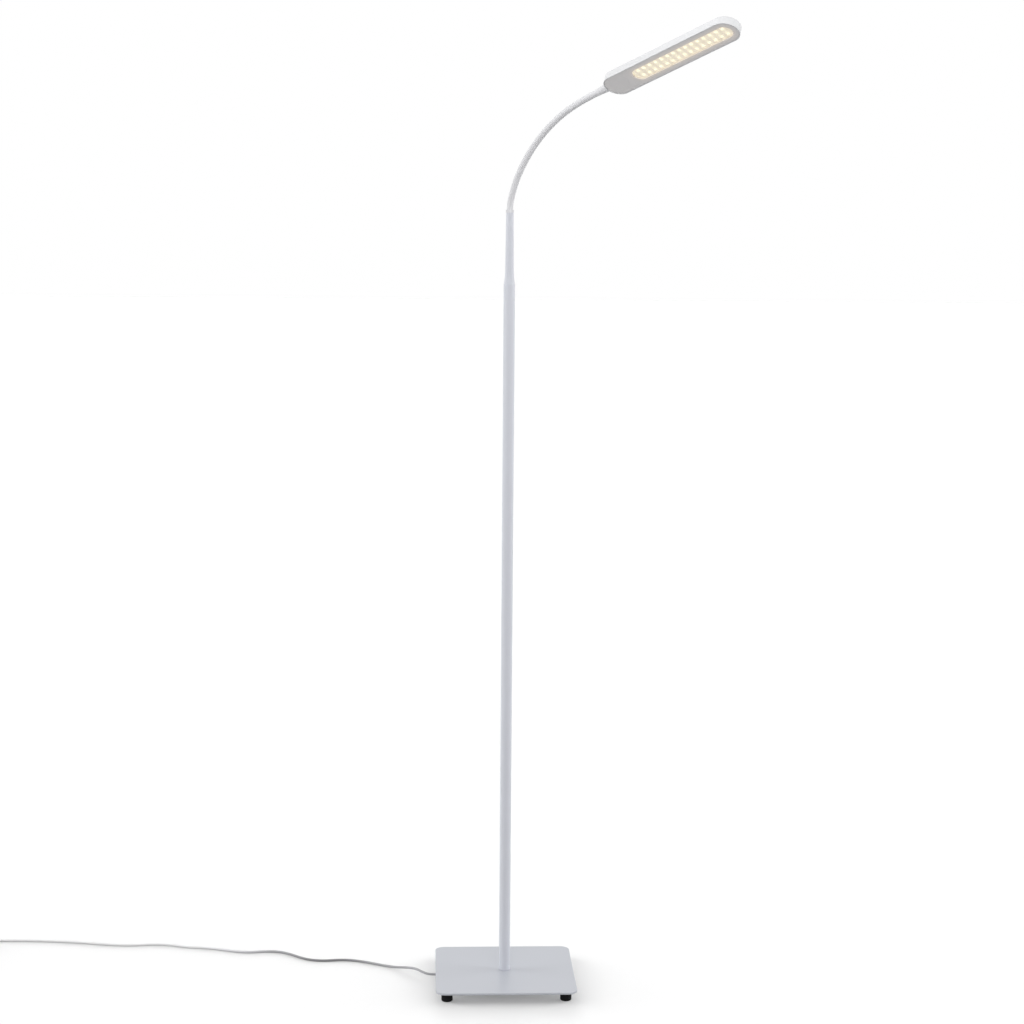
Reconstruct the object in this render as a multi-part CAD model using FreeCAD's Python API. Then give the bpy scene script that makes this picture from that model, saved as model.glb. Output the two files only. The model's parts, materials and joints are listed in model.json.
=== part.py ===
"""Gooseneck reading floor lamp with a flat LED head, made of separate pieces.

Millimetres, +Z up. The origin is the middle of the base on the floor, the base plate's edges run
along X and Y, -Y is the front, and the lead leaves the plate's -X edge. The neck starts upright at
the pole's top, bends over towards BEND_AZIMUTH and ends in the middle of the head's near end wall.
"""
import FreeCAD, Part
import os
from math import atan, cos, pi, radians, sin, sqrt, tan

V = FreeCAD.Vector
os.makedirs("parts", exist_ok=True)

# ---- driving dimensions -------------------------------------------------------------------------
# Base
PLATE_WIDTH = 200.0
PLATE_DEPTH = 200.0
PLATE_THICKNESS = 3.0
PLATE_CORNER_RADIUS = 14.0
PLATE_EDGE_ROUND = 0.7
FOOT_DIAMETER = 16.0
FOOT_HEIGHT = 13.0
FOOT_INSET = 16.0
FOOT_EDGE_ROUND = 2.0
SCREW_DIAMETER = 3.0
SCREW_HEAD_DIAMETER = 5.6
SCREW_HEAD_HEIGHT = 2.0
SCREW_GRIP = 3.5
SCREW_BITE = 2.2
HEAD_ROUND_SHARE = 0.35
RECESS_LENGTH_SHARE = 0.6
RECESS_WIDTH_SHARE = 0.13
RECESS_DEPTH_SHARE = 0.45
STUD_DIAMETER = 10.0
STUD_BORE = 6.6
STUD_REACH = 26.0
NUT_ACROSS_FLATS = 15.0
NUT_HEIGHT = 3.5
NUT_CHAMFER = 0.8
WASHER_DIAMETER = 20.0
WASHER_THICKNESS = 0.8
STUD_END_BELOW_NUT = 0.4
BUSH_WALL = 0.8
BUSH_LENGTH = 7.0
BUSH_FLANGE = 0.6

# Pole
POLE_DIAMETER = 16.0
POLE_WALL = 1.0
POLE_SECTION_LENGTH = 330.0
POLE_SECTIONS = ("pole_lower", "pole_middle", "pole_upper")
POLE_EDGE_CHAMFER = 0.4
INSERT_LENGTH = 30.0
JOINER_LENGTH = 56.0
JOINER_BORE = 9.0
CONE_HEIGHT = 25.0
CONE_BASE_DIAMETER = 15.2
CONE_TOP_DIAMETER = 12.2
CONE_SPIGOT = 18.0
CONE_LIP = 1.0
CONE_WAIST_HEIGHT_SHARE = 0.42
CONE_WAIST_TAPER_SHARE = 0.72
HOLDER_LENGTH = 73.5
HOLDER_BASE_DIAMETER = 12.0
HOLDER_TOP_DIAMETER = 10.4
HOLDER_SOCKET_DEPTH = 44.0
COLLAR_HEIGHT = 4.0
COLLAR_DIAMETER = 11.2
COLLAR_ROUND_SHARE = 0.4

# Neck
SLEEVE_DIAMETER = 9.0
CORE_DIAMETER = 6.4
CORE_BORE = 4.2
LEAD_DIAMETER = 3.5
BEND_AZIMUTH = -51.65
FIRST_LINK_LENGTH = 18.0
LINK_LENGTH = 41.4
LINK_TURNS = (20.0, 15.4, 11.2, 10.3, 9.7, 6.4, 1.6)
BALL_GAP = 0.3
FLARE_DIAMETER = 11.6
FLARE_LENGTH = 25.0
FLARE_SINK = 0.2

# Head
HEAD_ROLL = -27.6
HEAD_LENGTH = 235.0
HEAD_WIDTH = 37.6
HEAD_THICKNESS = 11.2
HEAD_WALL = 1.2
HEAD_EDGE_ROUND = 0.8
BEZEL_THICKNESS = 1.2
BEZEL_SINK = 0.3
WINDOW_START = 52.0
WINDOW_END_MARGIN = 9.0
WINDOW_WIDTH = 20.8
LENS_OVERLAP = 1.4
LENS_THICKNESS = 0.8
TRAY_HEIGHT = 1.2
LED_END_ROOM = 10.0
LED_ROWS = 2
LED_PITCH = 10.9
LED_ROW_SPACING = 10.4
LED_LENGTH = 3.5
LED_WIDTH = 2.8
LED_HEIGHT = 0.8
BOARD_THICKNESS = 1.2
BOARD_WIDTH = 33.0
BOARD_LEAD_IN = 2.5
BOARD_END_GAP = 2.5
BOARD_SCREW_START_INSET = 6.0
BOARD_SCREW_END_INSET = 18.0
DRIVER_START = 22.5
DRIVER_LENGTH = 26.0
DRIVER_WIDTH = 22.0
CHIPS = ((3.0, -8.0, 6.0, 5.0), (11.0, -8.5, 5.0, 4.0), (3.0, 3.5, 5.0, 5.0))
CHIP_HEIGHT = 1.6
SMALL_SCREW_DIAMETER = 2.0
SMALL_HEAD_DIAMETER = 3.6
SMALL_HEAD_HEIGHT = 0.9
SMALL_SCREW_BITE = 3.4
BOSS_DIAMETER = 5.0
SADDLE_START = 3.4
SADDLE_LENGTH = 13.0
SADDLE_WIDTH = 20.0
SADDLE_SCREW_SPACING = 14.0
FERRULE_DIAMETER = 7.8
FERRULE_LENGTH = 5.0
WIRE_DIAMETER = 1.3
WIRE_REACH = 3.5
WIRE_RISE = 1.0
WIRE_LANDING = 2.0
FIRST_WIRE_Y = 1.0
SECOND_WIRE_Y = 3.0
SECOND_WIRE_RISE = 2.4
FIRST_WIRE_RADII = (2.0, 0.8)
SECOND_WIRE_RADII = (1.0, 1.0)
TOUCH_PAD_DIAMETER = 10.0
TOUCH_PAD_THICKNESS = 0.4
TOUCH_POST_DIAMETER = 3.0

# Lead under the plate and loose cord
LEAD_HEIGHT_UNDER_NUT = 3.7
LEAD_TURN_RADIUS = 4.0
LEAD_RUN_UNDER_PLATE = 24.0
LEAD_BEND_RADIUS = 40.0
LEAD_STRAIGHT_AT_CLAMP = 12.0
CLAMP_FROM_EDGE = 42.0
CLAMP_LENGTH = 14.0
CLAMP_WIDTH = 26.0
CLAMP_SCREW_SPACING = 17.0
CLAMP_LOBE_RADIUS = 3.4
RELIEF_LENGTH = 26.0
RELIEF_BASE_DIAMETER = 6.4
RELIEF_TIP_DIAMETER = 4.6
CORD_EXIT_Y = 4.0
CORD_EXIT_HEIGHT = 7.0
CORD_LIE = 0.05
ARC_SHARE = 0.45
COIL_DISTANCE = 702.0
COIL_ENTRY_Y = 183.0
COIL_INNER_RADIUS = 14.0
COIL_PITCH = 3.95
COIL_LAYER_RISE = 3.95
COIL_TURNS_PER_LAYER = 3.5
COIL_CLIMB_TURNS = 0.5
COIL_END_LENGTH = 4.0
LEAST_COIL_GAP = 0.4
PLUG_WIDTH = 28.0
PLUG_LENGTH = 40.0
PLUG_HEIGHT = 24.0
PLUG_ROUND = 3.0
PLUG_RELIEF_LENGTH = 20.0
PLUG_RELIEF_DIAMETER = 6.5
PLUG_RELIEF_WALL = 0.6
PIN_DIAMETER = 4.0
PIN_LENGTH = 19.0
PIN_SPACING = 19.0
PIN_ROUND_SHARE = 0.4

# Clearances
SLIDE_CLEARANCE = 0.1
TURN_CLEARANCE = 0.15
SEAT_CLEARANCE = 0.3

# How far a cutting tool stands past what it cuts, and how near counts as the same place
CUT_MARGIN = 1.0
TOLERANCE = 1e-6

# ---- heights and radii worked out from them -----------------------------------------------------
PLATE_BOTTOM = FOOT_HEIGHT
PLATE_TOP = PLATE_BOTTOM + PLATE_THICKNESS
POLE_RADIUS = POLE_DIAMETER / 2
POLE_BORE_RADIUS = POLE_RADIUS - POLE_WALL
POLE_TOP = PLATE_TOP + POLE_SECTION_LENGTH * len(POLE_SECTIONS)
CONE_TOP = POLE_TOP + CONE_HEIGHT
HOLDER_TOP = CONE_TOP + HOLDER_LENGTH
COLLAR_TOP = HOLDER_TOP + COLLAR_HEIGHT
SOCKET_FLOOR = HOLDER_TOP - HOLDER_SOCKET_DEPTH
WASHER_BOTTOM = PLATE_BOTTOM - WASHER_THICKNESS
NUT_BOTTOM = WASHER_BOTTOM - NUT_HEIGHT
STUD_BOTTOM = NUT_BOTTOM - STUD_END_BELOW_NUT
SCREW_SEAT = PLATE_BOTTOM - SCREW_GRIP
FOOT_X = PLATE_WIDTH / 2 - FOOT_INSET
FOOT_Y = PLATE_DEPTH / 2 - FOOT_INSET
SLEEVE_RADIUS = SLEEVE_DIAMETER / 2
CORE_RADIUS = CORE_DIAMETER / 2
LEAD_RADIUS = LEAD_DIAMETER / 2
HEAD_MIDDLE = HEAD_THICKNESS / 2
BEZEL_TOP = BEZEL_SINK + BEZEL_THICKNESS
LENS_TOP = BEZEL_TOP + LENS_THICKNESS
BOARD_BOTTOM = LENS_TOP + TRAY_HEIGHT
BOARD_TOP = BOARD_BOTTOM + BOARD_THICKNESS
HEAD_CEILING = HEAD_THICKNESS - HEAD_WALL
WINDOW_END = HEAD_LENGTH - WINDOW_END_MARGIN
FLOOR_LINE = LEAD_RADIUS + CORD_LIE
CLAMP_X = CLAMP_FROM_EDGE - PLATE_WIDTH / 2
CORD_EXIT = V(CLAMP_X - CLAMP_LENGTH - RELIEF_LENGTH, CORD_EXIT_Y, CORD_EXIT_HEIGHT)

CLAMP_SCREWS = [(CLAMP_X - CLAMP_LENGTH / 2, CORD_EXIT.y + side * CLAMP_SCREW_SPACING / 2)
                for side in (-1, 1)]
FOOT_PLACES = [(sx * FOOT_X, sy * FOOT_Y) for sy in (-1, 1) for sx in (-1, 1)]


# ---- helpers ------------------------------------------------------------------------------------
def save(name, shape):
    """Write one node and print its volume, so that a bad solid shows at once."""
    if not shape.isValid():
        print("NOT VALID", name)
    shape.exportStep("parts/%s.step" % name)
    print("%-16s solids %2d  volume %10.1f" % (name, len(shape.Solids), shape.Volume))


def rod(radius, low, high, x=0.0, y=0.0):
    """Upright round rod from low to high."""
    return Part.makeCylinder(radius, high - low, V(x, y, low))


def pipe(radius, bore, low, high, x=0.0, y=0.0):
    """Upright round tube."""
    return rod(radius, low, high, x, y).cut(rod(bore, low - CUT_MARGIN, high + CUT_MARGIN, x, y))


def turned(outline):
    """Solid turned about Z from (radius, height) points."""
    points = [V(r, 0, z) for r, z in outline]
    face = Part.Face(Part.makePolygon(points + [points[0]]))
    return face.revolve(V(0, 0, 0), V(0, 0, 1), 360)


def box(low, high):
    """Box between two corners."""
    size = high - low
    return Part.makeBox(size.x, size.y, size.z, low)


def stadium(start, end, width, low, high):
    """Upright plate with fully rounded ends, along X."""
    r = width / 2
    a = V(start + r, -r, low)
    b = V(end - r, -r, low)
    c = V(end - r, r, low)
    d = V(start + r, r, low)
    edges = [Part.makeLine(a, b),
             Part.Arc(b, V(end, 0, low), c).toShape(),
             Part.makeLine(c, d),
             Part.Arc(d, V(start, 0, low), a).toShape()]
    return Part.Face(Part.Wire(edges)).extrude(V(0, 0, high - low))


def joined(shapes):
    """One solid out of touching or overlapping ones."""
    whole = shapes[0]
    for other in shapes[1:]:
        whole = whole.fuse(other)
    return whole.removeSplitter()


def widest_arcs(points):
    """Radius of the arc at each inner point, as large as its two runs allow."""
    found = []
    for before, at, after in zip(points, points[1:], points[2:]):
        shorter = min((before - at).Length, (after - at).Length)
        half = (at - before).getAngle(after - at) / 2
        found.append(ARC_SHARE * shorter / tan(half))
    return found


def rounded_path(points, radii):
    """Straight runs joined by tangent arcs."""
    edges = []
    at = points[0]
    for i in range(1, len(points) - 1):
        back = points[i - 1] - points[i]
        ahead = points[i + 1] - points[i]
        half = (-back).getAngle(ahead) / 2
        radius = radii[i - 1]
        reach = radius * tan(half)
        unit_back = V(back).normalize()
        unit_ahead = V(ahead).normalize()
        begin = points[i] + unit_back * reach
        finish = points[i] + unit_ahead * reach
        inward = (unit_back + unit_ahead).normalize()
        middle = points[i] + inward * (radius / cos(half) - radius)
        edges.append(Part.makeLine(at, begin))
        edges.append(Part.Arc(begin, middle, finish).toShape())
        at = finish
    edges.append(Part.makeLine(at, points[-1]))
    return Part.Wire(edges)


def swept(wire, radius, begin, direction):
    """Round wire of one radius along a path."""
    circle = Part.Wire([Part.Circle(begin, direction, radius).toShape()])
    return wire.makePipeShell([circle], True, False)


def check_sweep(name, solid, wire, radius):
    """Compare a sweep's volume with its section times its length."""
    wanted = pi * radius ** 2 * wire.Length
    print("   %s length %.1f  volume / section x length %.5f" % (name, wire.Length, solid.Volume / wanted))


# ---- base ---------------------------------------------------------------------------------------
def base_plate():
    """Square steel plate with blind screw holes from below and the stud's hole."""
    corner = V(PLATE_WIDTH / 2, PLATE_DEPTH / 2, 0)
    plate = box(V(0, 0, PLATE_BOTTOM) - corner, V(0, 0, PLATE_TOP) + corner)
    upright = [e for e in plate.Edges if abs(e.Vertexes[0].Z - e.Vertexes[-1].Z) > PLATE_THICKNESS / 2]
    plate = plate.makeFillet(PLATE_CORNER_RADIUS, upright)
    rim = [e for e in plate.Edges if abs(e.CenterOfMass.z - PLATE_TOP) < TOLERANCE]
    rim += [e for e in plate.Edges if abs(e.CenterOfMass.z - PLATE_BOTTOM) < TOLERANCE]
    plate = plate.makeFillet(min(PLATE_EDGE_ROUND, 0.4 * PLATE_THICKNESS), rim)
    stud_hole = STUD_DIAMETER / 2 + SLIDE_CLEARANCE
    plate = plate.cut(rod(stud_hole, PLATE_BOTTOM - CUT_MARGIN, PLATE_TOP + CUT_MARGIN))
    depth = SCREW_BITE + SLIDE_CLEARANCE
    for x, y in FOOT_PLACES + CLAMP_SCREWS:
        radius = SCREW_DIAMETER / 2 + SLIDE_CLEARANCE / 2
        plate = plate.cut(rod(radius, PLATE_BOTTOM - CUT_MARGIN, PLATE_BOTTOM + depth, x, y))
    return plate


def foot(x, y):
    """Rubber foot with a rounded lower edge and a screw well open below."""
    body = rod(FOOT_DIAMETER / 2, 0, FOOT_HEIGHT, x, y)
    body = body.makeFillet(FOOT_EDGE_ROUND, [e for e in body.Edges if e.BoundBox.ZMax < TOLERANCE])
    well = rod(SCREW_HEAD_DIAMETER / 2 + SEAT_CLEARANCE, -CUT_MARGIN, SCREW_SEAT, x, y)
    hole = rod(SCREW_DIAMETER / 2 + SLIDE_CLEARANCE, 0, FOOT_HEIGHT + CUT_MARGIN, x, y)
    return body.cut(well).cut(hole)


def pan_screw(x, y, seat, diameter, head_diameter, head_height, length):
    """Pan-head screw driven upwards, with a cross recess in its head."""
    shank = rod(diameter / 2, seat - head_height / 2, seat + length, x, y)
    head = rod(head_diameter / 2, seat - head_height, seat, x, y)
    outer_rim = [e for e in head.Edges if e.BoundBox.ZMax < seat - head_height / 2]
    head = head.makeFillet(head_height * HEAD_ROUND_SHARE, outer_rim)
    long_side = head_diameter * RECESS_LENGTH_SHARE / 2
    thin_side = head_diameter * RECESS_WIDTH_SHARE / 2
    low = V(x, y, seat - head_height - CUT_MARGIN)
    deep = V(x, y, seat - head_height * (1 - RECESS_DEPTH_SHARE))
    screw = head.fuse(shank)
    for reach in (V(long_side, thin_side, 0), V(thin_side, long_side, 0)):
        screw = screw.cut(box(low - reach, deep + reach))
    return screw.removeSplitter()


def base_screws():
    """Six equal screws: four hold the feet and two the lead's clamp."""
    length = SCREW_GRIP + SCREW_BITE
    return Part.makeCompound([
        pan_screw(x, y, SCREW_SEAT, SCREW_DIAMETER, SCREW_HEAD_DIAMETER, SCREW_HEAD_HEIGHT, length)
        for x, y in FOOT_PLACES + CLAMP_SCREWS])


def base_stud():
    """Hollow threaded stud that joins the plate and the pole, and lets the lead through."""
    return pipe(STUD_DIAMETER / 2, STUD_BORE / 2, STUD_BOTTOM, PLATE_TOP + STUD_REACH)


def base_washer():
    """Flat washer under the plate."""
    return pipe(WASHER_DIAMETER / 2, STUD_DIAMETER / 2 + SLIDE_CLEARANCE, WASHER_BOTTOM, PLATE_BOTTOM)


def base_nut():
    """Thin hexagon nut with chamfered corners."""
    corner = NUT_ACROSS_FLATS / 2 / cos(pi / 6)
    angles = [i * pi / 3 for i in range(7)]
    ring = [V(corner * cos(angle), corner * sin(angle), NUT_BOTTOM) for angle in angles]
    nut = Part.Face(Part.makePolygon(ring)).extrude(V(0, 0, NUT_HEIGHT))
    low_radius = corner - NUT_CHAMFER
    round_off = Part.makeCone(low_radius, low_radius + NUT_HEIGHT, NUT_HEIGHT, V(0, 0, NUT_BOTTOM))
    bore = rod(STUD_DIAMETER / 2 + SLIDE_CLEARANCE / 2, NUT_BOTTOM - CUT_MARGIN, WASHER_BOTTOM + CUT_MARGIN)
    return nut.common(round_off).cut(bore)


def cable_bush():
    """Plastic bush that guards the lead where it leaves the stud."""
    outer = STUD_BORE / 2 - SLIDE_CLEARANCE / 2
    bore = LEAD_RADIUS + TURN_CLEARANCE
    low = STUD_BOTTOM - BUSH_FLANGE
    return turned([(bore, low), (outer + BUSH_WALL, low), (outer + BUSH_WALL, STUD_BOTTOM),
                   (outer, STUD_BOTTOM), (outer, low + BUSH_LENGTH), (bore, low + BUSH_LENGTH)])


def lead_clamp():
    """Saddle under the plate that grips the lead."""
    x0 = CLAMP_X - CLAMP_LENGTH
    y = CORD_EXIT.y
    flange = box(V(x0, y - CLAMP_WIDTH / 2, SCREW_SEAT), V(CLAMP_X, y + CLAMP_WIDTH / 2, PLATE_BOTTOM))
    web = box(V(x0, y - CLAMP_LOBE_RADIUS, CORD_EXIT.z), V(CLAMP_X, y + CLAMP_LOBE_RADIUS, PLATE_BOTTOM))
    lobe = Part.makeCylinder(CLAMP_LOBE_RADIUS, CLAMP_LENGTH, V(x0, y, CORD_EXIT.z), V(1, 0, 0))
    body = joined([flange, web, lobe])
    body = body.cut(Part.makeCylinder(LEAD_RADIUS + SLIDE_CLEARANCE / 2, CLAMP_LENGTH + 2 * CUT_MARGIN,
                                      V(x0 - CUT_MARGIN, y, CORD_EXIT.z), V(1, 0, 0)))
    hole_radius = SCREW_DIAMETER / 2 + SLIDE_CLEARANCE
    for sx, sy in CLAMP_SCREWS:
        body = body.cut(rod(hole_radius, SCREW_SEAT - CUT_MARGIN, PLATE_BOTTOM + CUT_MARGIN, sx, sy))
    return body


def strain_relief():
    """Tapered rubber sleeve round the lead, from the clamp to just inside the plate's edge."""
    out = V(-1, 0, 0)
    start = CORD_EXIT - out * RELIEF_LENGTH
    cone = Part.makeCone(RELIEF_BASE_DIAMETER / 2, RELIEF_TIP_DIAMETER / 2, RELIEF_LENGTH, start, out)
    bore = Part.makeCylinder(LEAD_RADIUS + SLIDE_CLEARANCE / 2, RELIEF_LENGTH + 2 * CUT_MARGIN,
                             start - out * CUT_MARGIN, out)
    return cone.cut(bore)


def pole_lead():
    """Lead from the neck down the pole, round under the nut and out through the clamp."""
    top = V(0, 0, SOCKET_FLOOR)
    under = V(0, 0, LEAD_HEIGHT_UNDER_NUT)
    run = V(-LEAD_RUN_UNDER_PLATE, 0, LEAD_HEIGHT_UNDER_NUT)
    rise = V(CLAMP_X + LEAD_STRAIGHT_AT_CLAMP, CORD_EXIT.y, CORD_EXIT.z)
    wire = rounded_path([top, under, run, rise, CORD_EXIT],
                        [LEAD_TURN_RADIUS, LEAD_BEND_RADIUS, LEAD_BEND_RADIUS])
    solid = swept(wire, LEAD_RADIUS, top, V(0, 0, -1))
    check_sweep("pole_lead", solid, wire, LEAD_RADIUS)
    return solid


# ---- pole ---------------------------------------------------------------------------------------
def pole_section(low, high):
    """Painted steel tube with small chamfers, which show as a fine line at each joint."""
    c = POLE_EDGE_CHAMFER
    return turned([(POLE_BORE_RADIUS, low), (POLE_RADIUS - c, low), (POLE_RADIUS, low + c),
                   (POLE_RADIUS, high - c), (POLE_RADIUS - c, high), (POLE_BORE_RADIUS, high)])


def pole_insert():
    """Threaded plug in the pole's foot that takes the stud."""
    return pipe(POLE_BORE_RADIUS - SLIDE_CLEARANCE, STUD_DIAMETER / 2 + SLIDE_CLEARANCE / 2,
                PLATE_TOP, PLATE_TOP + INSERT_LENGTH)


def joiner(middle):
    """Hollow threaded joiner inside two pole sections."""
    return pipe(POLE_BORE_RADIUS - SLIDE_CLEARANCE, JOINER_BORE / 2,
                middle - JOINER_LENGTH / 2, middle + JOINER_LENGTH / 2)


def neck_cone():
    """Reducer on the pole's top: a spigot inside the tube and a hollow-sided cone above."""
    spigot = POLE_BORE_RADIUS - SLIDE_CLEARANCE
    bore = JOINER_BORE / 2
    taper = (CONE_BASE_DIAMETER - CONE_TOP_DIAMETER) / 2
    base = V(CONE_BASE_DIAMETER / 2, 0, POLE_TOP + CONE_LIP)
    top = V(CONE_TOP_DIAMETER / 2, 0, CONE_TOP)
    middle = V(base.x - taper * CONE_WAIST_TAPER_SHARE, 0,
               POLE_TOP + CONE_HEIGHT * CONE_WAIST_HEIGHT_SHARE)
    side = Part.Arc(base, middle, top).toShape()
    corners = [top, V(bore, 0, CONE_TOP), V(bore, 0, POLE_TOP - CONE_SPIGOT),
               V(spigot, 0, POLE_TOP - CONE_SPIGOT), V(spigot, 0, POLE_TOP),
               V(CONE_BASE_DIAMETER / 2, 0, POLE_TOP), base]
    lines = [Part.makeLine(corners[i], corners[i + 1]) for i in range(len(corners) - 1)]
    face = Part.Face(Part.Wire([side] + lines))
    return face.revolve(V(0, 0, 0), V(0, 0, 1), 360)


def neck_holder():
    """Slim tapered tube whose socket holds the neck's core."""
    socket = CORE_RADIUS + TURN_CLEARANCE
    lead = LEAD_RADIUS + SEAT_CLEARANCE
    return turned([(lead, CONE_TOP), (HOLDER_BASE_DIAMETER / 2, CONE_TOP),
                   (HOLDER_TOP_DIAMETER / 2, HOLDER_TOP), (socket, HOLDER_TOP),
                   (socket, SOCKET_FLOOR), (lead, SOCKET_FLOOR)])


def neck_collar():
    """Bright ring that finishes the holder's top round the neck's sleeve."""
    bore = SLEEVE_RADIUS + SEAT_CLEARANCE
    ring = pipe(COLLAR_DIAMETER / 2, bore, HOLDER_TOP, COLLAR_TOP)
    upper = [e for e in ring.Edges if e.BoundBox.ZMin > COLLAR_TOP - TOLERANCE]
    outer = [e for e in upper if e.BoundBox.XMax > bore + TOLERANCE * COLLAR_DIAMETER]
    return ring.makeFillet(COLLAR_ROUND_SHARE * (COLLAR_DIAMETER / 2 - bore), outer)


# ---- neck ---------------------------------------------------------------------------------------
BEND_PLANE = FreeCAD.Rotation(V(0, 0, 1), BEND_AZIMUTH)


def neck_stations():
    """Places and directions at the neck's start, its hinges and its end, in the plane of the bend."""
    place = V(0, 0, COLLAR_TOP)
    lean = 0.0
    stations = [(place, lean)]
    for i, turn in enumerate(LINK_TURNS):
        length = FIRST_LINK_LENGTH if i == 0 else LINK_LENGTH
        radius = length / radians(turn)
        pivot = place + V(cos(radians(lean)), 0, -sin(radians(lean))) * radius
        lean += turn
        place = pivot - V(cos(radians(lean)), 0, -sin(radians(lean))) * radius
        stations.append((place, lean))
    return stations


STATIONS = neck_stations()
HINGES = [place for place, lean in STATIONS[1:-1]]
NECK_END, NECK_LEAN = STATIONS[-1]


def along(lean):
    """Direction of the neck where it leans this much from upright."""
    return V(sin(radians(lean)), 0, cos(radians(lean)))


def bent_tube(index, radius):
    """Solid round bar along one link's arc."""
    place, lean = STATIONS[index]
    turn = LINK_TURNS[index]
    length = FIRST_LINK_LENGTH if index == 0 else LINK_LENGTH
    bend_radius = length / radians(turn)
    pivot = place + V(cos(radians(lean)), 0, -sin(radians(lean))) * bend_radius
    disc = Part.Face(Part.Wire([Part.Circle(place, along(lean), radius).toShape()]))
    return disc.revolve(pivot, V(0, 1, 0), turn)


def link_bar(index, radius, tail_start, head_end):
    """One link's bar: its arc, a straight tail before the first link or a ball end at a hinge."""
    bar = bent_tube(index, radius)
    start = STATIONS[index][0]
    finish, finish_lean = STATIONS[index + 1]
    if index == 0:
        bar = bar.fuse(rod(radius, tail_start, COLLAR_TOP))
    if index < len(HINGES):
        cap = Part.makeCylinder(radius, SLEEVE_RADIUS, finish, along(finish_lean))
        bar = bar.fuse(cap.common(Part.makeSphere(SLEEVE_RADIUS, finish)))
    elif head_end > 0:
        bar = bar.fuse(Part.makeCylinder(radius, head_end, finish, along(finish_lean)))
    if index > 0:
        bar = bar.cut(Part.makeSphere(SLEEVE_RADIUS + BALL_GAP, start))
    return bar.removeSplitter()


def sleeve_flare():
    """Cone that widens the sleeve evenly over its last stretch, before the head."""
    growth = FLARE_DIAMETER / 2 - SLEEVE_RADIUS
    length = FLARE_LENGTH * (1 + FLARE_SINK / growth)
    direction = along(NECK_LEAN - LINK_TURNS[-1] * FLARE_LENGTH / LINK_LENGTH / 2)
    return Part.makeCone(SLEEVE_RADIUS - FLARE_SINK, FLARE_DIAMETER / 2, length,
                         NECK_END - direction * length, direction)


def drilled_link(index, radius, bore, tail_start, head_end, widening=None):
    """A link's tube: its bar, with any widening, less a longer, thinner bar."""
    bar = link_bar(index, radius, tail_start, head_end)
    if widening:
        bar = bar.fuse(widening).removeSplitter()
    inner = bent_tube(index, bore)
    start, start_lean = STATIONS[index]
    finish, finish_lean = STATIONS[index + 1]
    ahead = radius + head_end + CUT_MARGIN
    back = COLLAR_TOP - tail_start if index == 0 else SLEEVE_RADIUS
    inner = inner.fuse(Part.makeCylinder(bore, ahead, finish, along(finish_lean)))
    inner = inner.fuse(Part.makeCylinder(bore, back + CUT_MARGIN, start, -along(start_lean)))
    return bar.cut(inner)


def in_bend_plane(shape):
    """Turn a piece made in the XZ plane into the plane of the bend."""
    shape.Placement = FreeCAD.Placement(V(0, 0, 0), BEND_PLANE).multiply(shape.Placement)
    return shape


def neck_pieces(index):
    """Sleeve, core and lead of one link of the neck."""
    core_start = SOCKET_FLOOR + SEAT_CLEARANCE
    core_end = SADDLE_START + SADDLE_LENGTH - SEAT_CLEARANCE
    sleeve_bore = CORE_RADIUS + SLIDE_CLEARANCE
    widening = sleeve_flare() if index == len(HINGES) else None
    sleeve = drilled_link(index, SLEEVE_RADIUS, sleeve_bore, HOLDER_TOP + SEAT_CLEARANCE, 0, widening)
    if index == len(HINGES):
        cut_from = NECK_END - along(NECK_LEAN) * SEAT_CLEARANCE
        sleeve = sleeve.cut(Part.makeCylinder(SLEEVE_DIAMETER, CUT_MARGIN, cut_from, along(NECK_LEAN)))
    core = drilled_link(index, CORE_RADIUS, CORE_BORE / 2, core_start, core_end)
    lead = link_bar(index, LEAD_RADIUS, core_start, core_end)
    return sleeve, core, lead


# ---- head, made flat along +X with its underside at z = 0 ---------------------------------------
HEAD_PLACE = FreeCAD.Placement(
    BEND_PLANE.multVec(NECK_END),
    BEND_PLANE.multiply(FreeCAD.Rotation(V(0, 1, 0), NECK_LEAN - 90)).multiply(
        FreeCAD.Rotation(V(1, 0, 0), HEAD_ROLL)))


def on_head(shape):
    """Carry a piece from the head's own frame to its place on the neck."""
    lowered = FreeCAD.Placement(V(0, 0, -HEAD_MIDDLE), FreeCAD.Rotation())
    shape.Placement = HEAD_PLACE.multiply(lowered).multiply(shape.Placement)
    return shape


LED_MIDDLE = (WINDOW_START + WINDOW_END) / 2
LED_COUNT = int((WINDOW_END - WINDOW_START - 2 * LED_END_ROOM) // LED_PITCH) + 1
BOARD_START = WINDOW_START - BOARD_LEAD_IN
BOARD_END = HEAD_LENGTH - HEAD_WALL - BOARD_END_GAP
BOARD_SCREW_X = (WINDOW_START + BOARD_SCREW_START_INSET, LED_MIDDLE, WINDOW_END - BOARD_SCREW_END_INSET)
BOARD_SCREW_Y = BOARD_WIDTH / 2 - BOSS_DIAMETER / 2
BOARD_SCREWS = [(x, side * BOARD_SCREW_Y) for x in BOARD_SCREW_X for side in (-1, 1)]
SADDLE_MIDDLE = SADDLE_START + SADDLE_LENGTH / 2
SADDLE_SCREWS = [(SADDLE_MIDDLE, side * SADDLE_SCREW_SPACING / 2) for side in (-1, 1)]
DRIVER_SCREWS = [(DRIVER_START + DRIVER_LENGTH - BOSS_DIAMETER / 2, side * (DRIVER_WIDTH - BOSS_DIAMETER) / 2)
                 for side in (-1, 1)]
SMALL_SHANK = BOARD_THICKNESS + SMALL_SCREW_BITE


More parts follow.
